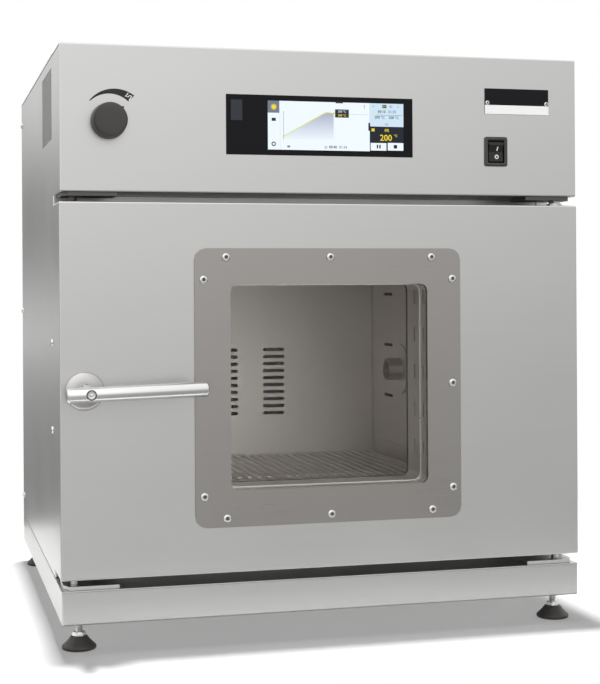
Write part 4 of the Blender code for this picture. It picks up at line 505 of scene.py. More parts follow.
# Painted shade: a darker copy of the case's steel for the plinth.
PLINTH_SHADE_PAINT = finish("plinth_satin_painted_shade", PLINTH_SHADE_PAINT_COLOUR, 0.33, stretch=(9, 9, 900), **SATIN)
TOP = finish("case_satin_top", CASE_COLOUR, 0.34, stretch=(9, 900, 9), **SATIN)
WINDOW = finish("window_frame_satin", WINDOW_COLOUR, 0.30, 1.0, 1.0, (9, 9, 1100), bump=0.08, cloud=8.0)
LINER = finish("liner_matt_steel", LINER_COLOUR, 0.38, 0.40, 1.0, (30, 30, 500), bump=0.06, cloud=9.0)
SPACER = finish("spacer_steel", SPACER_COLOUR, 0.36, 0.35, 1.0, (30, 30, 500), bump=0.06, cloud=12.0)
SEAL = finish("glazing_seal_steel", SEAL_COLOUR, 0.30, 0.8, 200.0, bump=0.06, cloud=20.0)
BRIGHT = finish("bright_bar_steel", BRIGHT_COLOUR, 0.22, 1.0, 1.0, (500, 60, 60), 0.04, cloud=30.0)
SCREW = finish("screw_steel", SCREW_COLOUR, 0.24, 1.0, 900.0, spread=0.06, bump=0.08, cloud=200.0)
# Painted shade: dark and nearly unreflecting, for hollows and gaps.
PAINTED_SOCKET_SHADE = finish("painted_socket_shade", SOCKET_SHADE_PAINT_COLOUR, 0.50, 0.0, 900.0, spread=0.10, bump=0.08, cloud=200.0,
                specular=0.2)
TURNED = finish("turned_steel", ROSETTE_COLOUR, 0.30, 1.0, 300.0, bump=0.06, cloud=60.0)
# Painted shade: a darkened copy of steel for the upper hinge plates in the gap above the door.
HINGE_SHADE_PAINT = finish("shaded_hinge_steel", HINGE_SHADE_PAINT_COLOUR, 0.40, 1.0, 300.0, spread=0.08, cloud=40.0)
DARK_STEEL = finish("dark_satin_steel", DARK_METAL, 0.38, 1.0, 300.0, spread=0.08, cloud=40.0)
SHELF_WIRE = finish("shelf_wire_steel", SHELF_COLOUR, 0.32, 0.55, 1.0, (90, 400, 90), 0.06, 0.06,
                    cloud=30.0)
ZINC = cellular("galvanised_sheet", GALVANISED_COLOUR, 0.45, 0.9, 120.0, 0.10)
MOTOR = finish("motor_paint", MOTOR_COLOUR, 0.45, 0.4, 500.0, spread=0.08, bump=0.25, cloud=20.0)
# Grey rock wool, darkened as painted shade for the slots it shows through.
WOOL_AND_SLOT_SHADE = finish("mineral_wool", WOOL_AND_SLOT_SHADE_COLOUR, 0.95, 0.0, 260.0, (1, 0.3, 1), 0.25, 0.04, 1.0, 0.002,
              cloud=30.0, specular=0.1)
SILICONE = finish("silicone_rubber", SILICONE_COLOUR, 0.58, 0.0, 400.0, spread=0.08, bump=0.2)
GLASS = clear_glass("window_glass")
BLACK_GLASS = finish("black_display_glass", BLACK, 0.07, 0.0, 60.0, rough_spread=0.02, bump=0.0,
                     specular=0.11)
PLASTIC = finish("black_grained_plastic", BLACK_PLASTIC, 0.40, bump=0.35, specular=0.4, **FINE_PLASTIC)
BEZEL = finish("switch_bezel_plastic", BEZEL_BLACK, 0.38, bump=0.35, specular=0.45, **FINE_PLASTIC)
ROCKER = finish("switch_rocker_plastic", ROCKER_BLACK, 0.28, bump=0.2, specular=0.3, **FINE_PLASTIC)
KNOB = finish("knob_plastic", KNOB_GREY, 0.42, 0.0, 1800.0, spread=0.08, bump=0.35, bump_depth=0.00004,
              cloud=40.0, specular=0.25)
COVER = finish("cover_plastic", COVER_BLUE, 0.30, 0.0, 2000.0, spread=0.08, bump=0.2, cloud=60.0,
               specular=0.4)
BOARD = cellular("circuit_board", BOARD_GREEN, 0.50, 0.0, 220.0, 0.18)
FOOT = finish("foot_rubber", RUBBER, 0.50, 0.0, 900.0, spread=0.12, bump=0.4, cloud=60.0)
SILVER = finish("name_plate_silver", PLATE_SILVER, 0.35, 0.25, 1.0, (30, 30, 2500), 0.04, 0.04)
PLATE_BLACK = finish("name_plate_black", BLACK, 0.30, 0.0, 900.0, spread=0.06, bump=0.05, specular=0.13)
LABEL = finish("label_foil", LABEL_PALE, 0.45, 0.0, 400.0, spread=0.04, bump=0.08, cloud=25.0)
DARK_PRINT = finish("dark_print", PRINT_DARK, 0.50, 0.0, 1500.0, spread=0.10, bump=0.05, specular=0.15)
PALE_PRINT = finish("pale_print", PRINT_PALE, 0.50, 0.0, 1500.0, spread=0.04, bump=0.05, specular=0.2)
# Painted shadow, for the gap under the top cover.
SEAM_SHADOW_PAINT = finish("painted_seam_shadow", SEAM_SHADOW_PAINT_COLOUR, 0.7, 0.0, 500.0, spread=0.10, bump=0.05)
brush_in_rings(TURNED, "Y")

SLOT_FINISH = {
    "case_steel": CASE, "window_steel": WINDOW, "liner_steel": LINER, "bright_steel": BRIGHT,
    "dark_steel": DARK_STEEL, "galvanised": ZINC, "motor_grey": MOTOR, "wool": WOOL_AND_SLOT_SHADE,
    "silicone": SILICONE, "clear_glass": GLASS, "black_glass": BLACK_GLASS, "black_plastic": PLASTIC,
    "grey_plastic": KNOB, "board_green": BOARD, "foot_rubber": FOOT,
}
NODE_FINISH = {
    "top_cover": TOP, "floor_panel": TOP, "plinth": PLINTH_SHADE_PAINT, "usb_cover": COVER, "glazing_seal": SEAL,
    # The upper hinge plates get painted shade.
    "window_spacer_front": SPACER, "window_spacer_rear": SPACER, "hinge_plate_upper": HINGE_SHADE_PAINT,
    "spare_hinge_plate_upper": HINGE_SHADE_PAINT, "name_plate": PLATE_BLACK,
}


def dress_nodes():
    """Give every solid its own finish, or that of its slot."""
    for row in frame["record"]["subparts"]:
        materials = NODES[row["node"]].data.materials
        materials.clear()
        materials.append(NODE_FINISH.get(row["node"], SLOT_FINISH[row["material_slot"]]))


def box(node):
    """The low and high corner of a solid, in millimetres."""
    return [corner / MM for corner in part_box(node)]


def middle(low, high):
    """The point halfway between two corners."""
    return (low + high) / 2


def metres(point):
    """A point in metres, from one in millimetres."""
    return [value * MM for value in point]


def made(name, mesh_data, material, body, smooth=SMOOTH_DEG):
    """Turn a bmesh into a piece that rides on a body."""
    bmesh.ops.remove_doubles(mesh_data, verts=mesh_data.verts, dist=WELD * MM)
    bmesh.ops.recalc_face_normals(mesh_data, faces=mesh_data.faces)
    mesh = bpy.data.meshes.new(name)
    mesh_data.to_mesh(mesh)
    mesh_data.free()
    mesh.shade_smooth()
    mesh.set_sharp_from_angle(angle=math.radians(smooth))
    mesh.materials.append(material)
    obj = bpy.data.objects.new(name, mesh)
    bpy.context.scene.collection.objects.link(obj)
    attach(obj, body)
    return obj


def merge(mesh_data, part, matrix=None):
    """Add one bmesh to another, placed by a matrix."""
    if matrix:
        bmesh.ops.transform(part, matrix=matrix, verts=part.verts)
    mesh = bpy.data.meshes.new("merged")
    part.to_mesh(mesh)
    part.free()
    mesh_data.from_mesh(mesh)
    bpy.data.meshes.remove(mesh)


def pointing(place, axis):
    """A matrix that turns +Z to an axis and moves the origin to a place."""
    turn = Vector(UPWARD).rotation_difference(Vector(axis)).to_matrix().to_4x4()
    return Matrix.Translation(metres(place)) @ turn


def ring_reach(angle, radius, sides):
    """Distance from the axis at an angle: a circle, or a polygon with that many sides."""
    if not sides:
        return radius
    wedge = 2 * math.pi / sides
    return radius * math.cos(wedge / 2) / math.cos(angle % wedge - wedge / 2)


def scaled(shape, radius, height):
    """A profile whose radii and heights are shares of a radius and a height."""
    return [(share * radius, rise * height, *sides) for share, rise, *sides in shape]


def add_loops(mesh_data, loops, matrix=None, closed=False):
    """A closed skin over loops of points, from end to end, or round into a ring."""
    part = bmesh.new()
    rings = [[part.verts.new(metres(point)) for point in loop] for loop in loops]
    pairs = list(zip(rings, rings[1:]))
    if closed:
        pairs.append((rings[-1], rings[0]))
    else:
        part.faces.new(rings[0])
        part.faces.new(rings[-1])
    for near, far in pairs:
        for step in range(len(near)):
            after = (step + 1) % len(near)
            part.faces.new((near[step], near[after], far[after], far[step]))
    merge(mesh_data, part, matrix)


def add_rings(mesh_data, profile, place, axis, steps=FINE_STEPS, closed=False):
    """A solid of rings along an axis: (radius, height) or (corner radius, height, sides) from end to end."""
    loops = []
    for radius, height, *sides in profile:
        loop = []
        for step in range(steps):
            angle = 2 * math.pi * step / steps
            reach = ring_reach(angle, radius, sides[0] if sides else 0)
            loop.append((reach * math.cos(angle), reach * math.sin(angle), height))
        loops.append(loop)
    add_loops(mesh_data, loops, pointing(place, axis), closed)


def add_box(mesh_data, low, high, bevel=0.0, segments=2):
    """A box between two corners, with rounded edges."""
    low, high = Vector(metres(low)), Vector(metres(high))
    part = bmesh.new()
    bmesh.ops.create_cube(part, size=1)
    bmesh.ops.scale(part, vec=high - low, verts=part.verts)
    if bevel:
        bmesh.ops.bevel(part, geom=part.edges[:], offset=bevel * MM, segments=segments, profile=0.5,
                        affect="EDGES", clamp_overlap=True)
    merge(mesh_data, part, Matrix.Translation(middle(low, high)))


def add_prism(mesh_data, outline, front_y, back_y, bevel=0.0):
    """A flat shape of (x, z) points that faces the front, between two depths."""
    part = bmesh.new()
    front = [part.verts.new(metres((x, front_y, z))) for x, z in outline]
    back = [part.verts.new(metres((x, back_y, z))) for x, z in outline]
    face = part.faces.new(front)
    part.faces.new(list(reversed(back)))
    for index in range(len(outline)):
        after = (index + 1) % len(outline)
        part.faces.new((front[index], front[after], back[after], back[index]))
    if bevel:
        bmesh.ops.bevel(part, geom=face.edges[:], offset=bevel * MM, segments=2, profile=0.5,
                        affect="EDGES", clamp_overlap=True)
    merge(mesh_data, part)


def mesh_of(curve):
    """The mesh that a curve or text draws."""
    drawn = bpy.data.objects.new("drawn", curve)
    bpy.context.scene.collection.objects.link(drawn)
    bpy.context.view_layer.update()
    mesh = bpy.data.meshes.new_from_object(drawn.evaluated_get(bpy.context.evaluated_depsgraph_get()))
    bpy.data.objects.remove(drawn)
    return mesh


def add_mesh(mesh_data, mesh):
    """Move a mesh into a bmesh."""
    mesh_data.from_mesh(mesh)
    bpy.data.meshes.remove(mesh)


def add_text(mesh_data, words, size, place, thickness):
    """Raised bold characters that face the front, centred on a point of their front."""
    curve = bpy.data.curves.new("characters", "FONT")
    curve.body = words
    curve.size = size * MM
    curve.offset = size * MM * TEXT_WEIGHT
    curve.extrude = thickness * MM / 2
    curve.align_x = "CENTER"
    curve.align_y = "CENTER"
    curve.resolution_u = TEXT_STEPS
    mesh = mesh_of(curve)
    x, front_y, z = place
    turn = Matrix.Rotation(math.pi / 2, 4, "X")
    mesh.transform(Matrix.Translation(metres((x, front_y + thickness / 2, z))) @ turn)
    add_mesh(mesh_data, mesh)


def add_wire(mesh_data, points, radius, closed=False):
    """A round wire through points."""
    curve = bpy.data.curves.new("wire", "CURVE")
    curve.dimensions = "3D"
    curve.bevel_depth = radius * MM
    curve.bevel_resolution = WIRE_STEPS
    curve.use_fill_caps = not closed
    spline = curve.splines.new("POLY")
    spline.points.add(len(points) - 1)
    for point, place in zip(spline.points, points):
        point.co = (*metres(place), 1)
    spline.use_cyclic_u = closed
    add_mesh(mesh_data, mesh_of(curve))


def round_point(x, z, radius, degrees):
    """The point of a circle at an angle."""
    angle = math.radians(degrees)
    return x + radius * math.cos(angle), z + radius * math.sin(angle)


def disc_outline(x, z, radius, steps=24):
    """Points of a circle."""
    return [round_point(x, z, radius, 360 * step / steps) for step in range(steps)]


def rectangle(low_x, low_z, high_x, high_z):
    """Corner points of a rectangle."""
    return [(low_x, low_z), (high_x, low_z), (high_x, high_z), (low_x, high_z)]


def band(points, width):
    """Outline of a line of a given width along (x, z) points."""
    left, right = [], []
    for index, point in enumerate(points):
        before = Vector(points[max(index - 1, 0)])
        after = Vector(points[min(index + 1, len(points) - 1)])
        along = (after - before).normalized()
        across = Vector((-along.y, along.x)) * width / 2
        left.append(tuple(Vector(point) + across))
        right.append(tuple(Vector(point) - across))
    return left + right[::-1]


def arc_through(start, middle_point, end, steps=16):
    """Points of the arc through three (x, z) points."""
    (ax, az), (bx, bz), (cx, cz) = start, middle_point, end
    twice = 2 * (ax * (bz - cz) + bx * (cz - az) + cx * (az - bz))
    squares = [px * px + pz * pz for px, pz in (start, middle_point, end)]
    centre_x = (squares[0] * (bz - cz) + squares[1] * (cz - az) + squares[2] * (az - bz)) / twice
    centre_z = (squares[0] * (cx - bx) + squares[1] * (ax - cx) + squares[2] * (bx - ax)) / twice
    radius = math.hypot(ax - centre_x, az - centre_z)
    first = math.degrees(math.atan2(az - centre_z, ax - centre_x))
    last = math.degrees(math.atan2(cz - centre_z, cx - centre_x))
    return [round_point(centre_x, centre_z, radius, first + (last - first) * step / steps)
            for step in range(steps + 1)]


def rounded_loop(low, high, inset, radius, y, steps=5):
    """Points of a rounded rectangle inside a box, at a depth, anticlockwise."""
    points = []
    reach = inset + radius
    corners = ((high.x - reach, high.z - reach), (low.x + reach, high.z - reach),
               (low.x + reach, low.z + reach), (high.x - reach, low.z + reach))
    for quarter, (corner_x, corner_z) in enumerate(corners):
        for step in range(steps + 1):
            x, z = round_point(corner_x, corner_z, radius, 90 * quarter + 90 * step / steps)
            points.append((x, y, z))
    return points


def screws(name, places, axis, size, body):
    """Button-head screws with hexagon sockets, and painted shade inside the sockets: a dark prism where the
    hollow falls in shade.
    """
    heads, shades = bmesh.new(), bmesh.new()
    radius, height = size
    head = scaled(SCREW_HEAD, radius, height) + scaled(SCREW_HOLE, radius * SOCKET_SHARE, height)
    shade = scaled(SCREW_PAINTED_SHADE, radius * SOCKET_SHARE, height)
    for place in places:
        add_rings(heads, head, place, axis, SCREW_STEPS)
        add_rings(shades, shade, place, axis, SCREW_STEPS)
    made(name, heads, SCREW, body)
    made(name + "_painted_socket_shade", shades, PAINTED_SOCKET_SHADE, body)


def build_window_screws():
    """Twelve button-head screws round the window frame."""
    low, high = box("window_frame")
    centre = middle(low, high)
    side_x = (high.x - low.x) / 2 - WINDOW_INSET
    side_z = (high.z - low.z) / 2 - WINDOW_INSET
    corner_x, corner_z = side_x - WINDOW_CORNER_X, side_z - WINDOW_CORNER_Z
    places = [(side * corner_x, end * side_z) for side in SIDES for end in SIDES]
    places += [(0, -side_z), (0, side_z), (-side_x, 0), (side_x, 0)]
    places += [(side * side_x, end * corner_z) for side in SIDES for end in SIDES]
    screws("window_frame_screws", [(centre.x + x, low.y - LIFT, centre.z + z) for x, z in places],
           FORWARD, WINDOW_SCREW, "door")


def build_side_screws():
    """Socket screws that hold the side panels."""
    door_z = middle(*box("door_outer_panel")).z
    for name, side in (("left", -1), ("right", 1)):
        low, high = box(name + "_side_panel")
        x = (low.x if side < 0 else high.x) + side * LIFT
        places = [(x, low.y + SIDE_FRONT_INSET, door_z + end * SIDE_FRONT_REACH) for end in SIDES]
        heights = (low.z + SIDE_END_INSET, middle(low, high).z, high.z - SIDE_END_INSET)
        places += [(x, high.y - SIDE_REAR_INSET, z) for z in heights]
        screws(name + "_panel_screws", places, (side, 0, 0), PANEL_SCREW, "case")


def build_rear_fittings():
    """Screws round the rear panel, a bare rating plate and the inlet's pins and screws."""
    low, high = box("rear_panel")
    mid_z = middle(low, high).z
    places = [(x, high.y + LIFT, z) for x in (low.x + REAR_INSET, 0, high.x - REAR_INSET)
              for z in (low.z + REAR_INSET, mid_z, high.z - REAR_INSET) if x or z != mid_z]
    screws("rear_panel_screws", places, BACKWARD, PANEL_SCREW, "case")
    plate = bmesh.new()
    plate_low = Vector((low.x + RATING_PLATE_PLACE[0], high.y + LIFT, low.z + RATING_PLATE_PLACE[1]))
    add_box(plate, plate_low, plate_low + Vector(RATING_PLATE_SIZE), LIFT, 1)
    made("rear_rating_plate", plate, LABEL, "case")
    low, high = box("mains_inlet")
    centre = middle(low, high)
    pins = bmesh.new()
    for x, z in PIN_PLACES:
        pin = Vector((centre.x + x, high.y, centre.z + z))
        add_box(pins, pin + Vector(PIN_LOW), pin + Vector(PIN_HIGH), PIN_BEVEL)
    made("inlet_pins", pins, SCREW, "case")
    screws("inlet_screws", [(centre.x + side * INLET_SCREW_REACH, high.y + LIFT, centre.z)
                            for side in SIDES], BACKWARD, INLET_SCREW, "case")


def build_top_screws():
    """Low screws along both side edges of the top cover."""
    low, high = box("top_cover")
    depths = (low.y + TOP_END_INSET, middle(low, high).y, high.y - TOP_END_INSET)
    places = [(x, y, high.z + LIFT) for x in (low.x + TOP_SIDE_INSET, high.x - TOP_SIDE_INSET)
              for y in depths]
    screws("top_cover_screws", places, UPWARD, TOP_SCREW, "case")


def build_feet():
    """Rubber cone pads, and bright studs with a hex nut and a lock nut."""
    plinth_z = box("plinth")[0].z
    for end in ("front", "back"):
        for side in ("left", "right"):
            node = "foot_" + end + "_" + side
            body = end + "_" + side + "_foot"
            low, high = box(node)
            place = (middle(low, high).x, middle(low, high).y, 0)
            pad = bmesh.new()
            add_rings(pad, scaled(FOOT_PAD, (high.x - low.x) / 2, 1), place, UPWARD)
            pad = made(node + "_pad", pad, FOOT, body)
            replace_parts(pad, node)
            stud = bmesh.new()
            add_rings(stud, FOOT_NUT, place, UPWARD, SCREW_STEPS)
            rings = []
            thread_z = THREAD_START
            while thread_z < plinth_z - THREAD_END:
                rings += [(THREAD_ROOT, thread_z), (THREAD_CREST, thread_z + THREAD_RISE)]
                thread_z += THREAD_PITCH
            rings += [(STUD_RADIUS, plinth_z + LOCK_NUT[0][1]), (STUD_RADIUS, high.z - STUD_CHAMFER_HEIGHT),
                      (STUD_TIP_RADIUS, high.z)]
            add_rings(stud, rings, place, UPWARD, SCREW_STEPS)
            lock_nut = [(radius, plinth_z + height, sides) for radius, height, sides in LOCK_NUT]
            add_rings(stud, lock_nut, place, UPWARD, SCREW_STEPS)
            made(node + "_stud", stud, SCREW, body)


def build_lever(x, z, front_y, low, high):
    """The round bar of the handle on its neck."""
    lift = math.radians(LEVER_LIFT_DEG)
    bar_y = low.y + LEVER_RADIUS
    start, end = (low.x - x) / math.cos(lift), (high.x - x) / math.cos(lift)
    profile = [(radius, start + along) for radius, along in LEVER_START]
    profile += [(radius, end + along) for radius, along in LEVER_END]
    bar = bmesh.new()
    add_rings(bar, profile, (x, bar_y, z), (math.cos(lift), 0, math.sin(lift)))
    neck = [(radius, along - front_y - NECK_GAP) for radius, along in NECK]
    add_rings(bar, neck + [(NECK_TIP_RADIUS, -bar_y - NECK_TIP)], (x, 0, z), FORWARD)
    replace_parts(made("door_lever", bar, BRIGHT, "handle"), "handle_lever")


def build_handle():
    """Lever bar on its neck, with socket screw and set screws, and the turned rosette; the screw's socket,
    the gap round its head and the set screws carry painted shade.
    """
    low, high = box("handle_lever")
    rosette_low, rosette_high = box("handle_rosette")
    x, z = middle(rosette_low, rosette_high).x, middle(rosette_low, rosette_high).z
    build_lever(x, z, rosette_low.y, low, high)
    # Painted shadow: a dark ring in the gap round the screw head.
    ring = bmesh.new()
    add_rings(ring, LEVER_SCREW_RING_SHADOW, (x, low.y + LEVER_SCREW_RING_SHADOW_DEPTH, z), FORWARD, closed=True)
    made("lever_screw_painted_shadow", ring, PAINTED_SOCKET_SHADE, "handle")
    screw = bmesh.new()
    add_rings(screw, LEVER_SCREW, (x, low.y, z), FORWARD, SCREW_STEPS)
    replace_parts(made("lever_screw", screw, SCREW, "handle"), "handle_screw")
    # Painted shade in the lever screw's socket.
    shade = bmesh.new()
    add_rings(shade, LEVER_SCREW_PAINTED_SHADE, (x, low.y, z), FORWARD, SCREW_STEPS)
    made("lever_screw_painted_shade", shade, PAINTED_SOCKET_SHADE, "handle")
    disc = bmesh.new()
    depth = rosette_high.y - rosette_low.y
    rim = (rosette_high.x - rosette_low.x) / 2
    profile = [(ROSETTE_HOLE, 0), (rim - ROSETTE_EDGE, 0), (rim, ROSETTE_EDGE)]
    profile += [(rim - inset, depth * share) for inset, share in ROSETTE_FACE]
    profile += [(ROSETTE_HOLE, depth * ROSETTE_FACE[-1][1])]
    add_rings(disc, profile, (x, rosette_high.y, z), FORWARD, closed=True)
    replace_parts(made("lever_rosette", disc, TURNED, "door", 50), "handle_rosette")
    # Set screws in painted shade, for the dark holes they sit in.
    dots = bmesh.new()
    for degrees in SET_SCREW_DEGREES:
        out_x, out_z = round_point(0, 0, 1, degrees)
        place = (x + out_x * SET_SCREW_REACH, rosette_low.y - SET_SCREW_AHEAD, z + out_z * SET_SCREW_REACH)
        add_rings(dots, SET_SCREW, place, (out_x, 0, out_z), SCREW_STEPS)
    made("lever_set_screws_painted_shade", dots, PAINTED_SOCKET_SHADE, "handle")


def build_knob():
    """Vent knob with a domed face and pointer corner, and its printed scale."""
    low, high = box("vent_knob")
    fascia_y = box("control_fascia")[0].y
    shaft = middle(*box("vent_shaft"))
    height = high.y - low.y
    radius = shaft.x - low.x
    knob = bmesh.new()
    profile = [(radius, 0), (radius, KNOB_FOOT)]
    profile += [(radius - inset, height - drop) for inset, drop in KNOB_FACE]
    add_rings(knob, profile + [(KNOB_CROWN, height)], (shaft.x, high.y, shaft.z), FORWARD, KNOB_STEPS)
    corner = radius / math.sqrt(2) + POINTER_OVERHANG
    pointer = ((corner, POINTER_ROOT), (corner, corner), (POINTER_ROOT, corner))
    add_prism(knob, [(shaft.x + x, shaft.z + z) for x, z in pointer],
              low.y + POINTER_FRONT, low.y + POINTER_BACK, POINTER_BEVEL)
    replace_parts(made("vent_knob_cap", knob, KNOB, "vent", 30), "vent_knob")
    scale = bmesh.new()
    outline = arc_through(*SCALE_OUTER) + arc_through(*SCALE_INNER)[::-1]
    add_prism(scale, [(shaft.x + x, shaft.z + z) for x, z in outline],
              fascia_y - LIFT, fascia_y - 0.2 * LIFT)
    made("vent_scale", scale, DARK_PRINT, "case")
    zigzag = bmesh.new()
    outline = band([(shaft.x + x, shaft.z + z) for x, z in SCALE_MARK], SCALE_MARK_WIDTH)
    add_prism(zigzag, outline, fascia_y - 2 * LIFT, fascia_y - 1.2 * LIFT)
    made("vent_scale_mark", zigzag, PALE_PRINT, "case")


def ring_strokes(x, z, radius, width):
    """Outlines of four strokes that make a ring."""
    return [band([round_point(x, z, radius, 90 * quarter + 15 * step) for step in range(7)], width)
            for quarter in range(4)]


def printed(name, layer, material, shapes=(), boxes=(), lines=(), discs=(), rings=(), texts=()):
    """Lit or printed shapes of one colour on the display's glass, placed from its middle."""
    low, high = box("display_glass")
    centre = middle(low, high)
    front_y = low.y - layer * LIFT
    outlines = [*shapes, *[rectangle(*corners) for corners in boxes]]
    outlines += [band(points, width) for points, width in lines]
    outlines += [disc_outline(*disc) for disc in discs]
    for ring in rings:
        outlines += ring_strokes(*ring)
    mesh_data = bmesh.new()
    for outline in outlines:
        add_prism(mesh_data, [(centre.x + x, centre.z + z) for x, z in outline], front_y,
                  front_y + PRINT_DEPTH)
    for words, size, x, z in texts:
        add_text(mesh_data, words, size, (centre.x + x, front_y, centre.z + z), PRINT_DEPTH)
    made(name, mesh_data, material, "case")


def build_display():
    """The lit screen with a heating curve, numbers and buttons, but no words."""
    pale = lit("screen_pale_blue", linear(203, 225, 242))
    navy = lit("screen_navy", linear(20, 24, 40))
    mid_z = middle(*box("display_glass")).z
    fill = fading("screen_curve_fill", linear(140, 148, 175), linear(228, 238, 248),
                  mid_z + CURVE_FADE, mid_z - CURVE_FADE)
    printed("screen_base", 1, lit("screen_white", linear(236, 245, 251)),
            boxes=((-61.9, -27.5, 57.9, 27.5), (58.9, -26.5, 77.8, -17.8), (79.4, -26.2, 98.3, -17.4)))
    printed("screen_side_panel", 1, pale, boxes=((58.0, 1.0, 98.5, 27.5), (-48.0, -27.4, -47.5, 13.8)))
    printed("screen_menu_cell", 2, lit("screen_slate", linear(110, 120, 135)),
            boxes=((-61.9, 13.9, -48.5, 27.5),))
    printed("screen_dark_panel", 1, navy, boxes=((58.0, -17.2, 98.5, 0.9),))
    printed("screen_curve_area", 2, fill, shapes=(
        ((-43.8, -15), (15, -15), (15, 14.4), (7.9, 15.2), (3.5, 14), (-12.8, 4.8), (-43.8, -12.4)),))
    draw_dark_marks(lit("screen_ink", linear(35, 38, 45)))
    draw_grey_marks(lit("screen_soft_ink", linear(120, 130, 145)))
    curve = ((-43.8, -12.2), (-28, -3.5), (-12.8, 5.1), (3.5, 14.3), (5.5, 15.2), (7.9, 15.6), (15.1, 14.8))
    printed("screen_curve_line", 4, lit("screen_curve", linear(222, 216, 55)), lines=((curve, 0.9),),
            discs=((*curve[0], 1.2), (*curve[-1], 1.1)))
    draw_yellow_marks(lit("screen_yellow", linear(235, 215, 40)))
    printed("screen_button_marks", 4, navy, boxes=(
        (66.2, -24.1, 67.8, -19.9), (69.2, -24.1, 70.8, -19.9), (86.6, -23.8, 90.6, -19.8)))
    printed("screen_pale_marks", 4, pale, texts=(("200 °C", 3.4, 25.0, 17.0),))


def draw_dark_marks(ink):
    """Icons, the label box, ticks and dark digits."""
    printed("screen_dark_marks", 3, ink, boxes=(
        (-57.5, 4.7, -52.7, 8.2), (16.7, 10.2, 33.0, 19.5), (17.4, 26.4, 26.1, 28.4), (56.2, -4, 58.4, 5),
        (73.2, 22.2, 78.0, 25.9)), lines=(
        (((-43.7, -16.6), (-43.7, 16.4)), 0.3), (((60.5, 14.2), (96.3, 14.2)), 0.3),
        (((76.4, 4.7), (78.2, 2.9), (80.0, 4.7)), 0.6)),
        discs=[(51.4, z, 0.45) for z in (21.7, 23.3, 24.9)],
        rings=((-55.3, -21.1, 2.0, 1.1), (5.7, -23.8, 1.3, 0.45)), texts=(
        ("00:40", 4.2, 14.0, -23.6), ("00:10", 4.2, 72.3, 18), ("200 °C", 4.2, 69.8, 11.4),
        ("200 °C", 4.2, 86.8, 11.4)))


def draw_grey_marks(ink):
    """Dashes, grey digits and small icons."""
    dashes = [(((34.2 + 2.9 * step, 14.2), (35.9 + 2.9 * step, 14.2)), 0.3) for step in range(8)]
    arrows = [(((foot, 25.2), (tip, 24), (foot, 22.8)), 0.5) for foot, tip in ((63.0, 61.6), (91.2, 92.6))]
    printed("screen_grey_marks", 3, ink, boxes=((-39.5, -24.8, -36.2, -22.6),), lines=dashes + arrows,
            texts=(("01:24", 4.2, 26.0, -23.6), ("01:20", 4.2, 85.0, 18), ("02", 3.6, 83.4, 24)))


def draw_yellow_marks(yellow):
    """The sun icon and the yellow numbers."""
    rays = [((round_point(*SUN_PLACE, 2.4, 45 * step), round_point(*SUN_PLACE, 3.5, 45 * step)), 1.0)
            for step in range(8)]
    printed("screen_yellow_marks", 5, yellow, boxes=((59.9, -4.6, 63.5, -1.4),),
            lines=rays + [(((60.4, 14.2), (65.4, 14.2)), 0.7)], discs=((*SUN_PLACE, 2.5),),
            texts=(("200 °C", 3.4, 25.0, 12.6), ("01", 3.2, 75.6, 24), ("0%", 4.6, 78.3, -3.4),
                   ("200", 9.8, 77.2, -12.1), ("°C", 3.8, 89.0, -9.4)))


def build_name_plate():
    """Pale strip and two screws of the bare name plate."""
    low, high = box("name_plate")
    strip = bmesh.new()
    add_box(strip, (low.x - LIFT, low.y - 2 * LIFT, low.z - LIFT),
            (high.x + LIFT, high.y - LIFT, low.z + STRIP_HEIGHT), 0.5 * LIFT, 1)
    made("name_plate_strip", strip, SILVER, "case")
    screws("name_plate_screws", [(x, low.y - 3 * LIFT, low.z + PLATE_SCREW_RISE)
                                 for x in (low.x + PLATE_SCREW_LEFT, high.x - PLATE_SCREW_RIGHT)],
           FORWARD, PLATE_SCREW, "case")


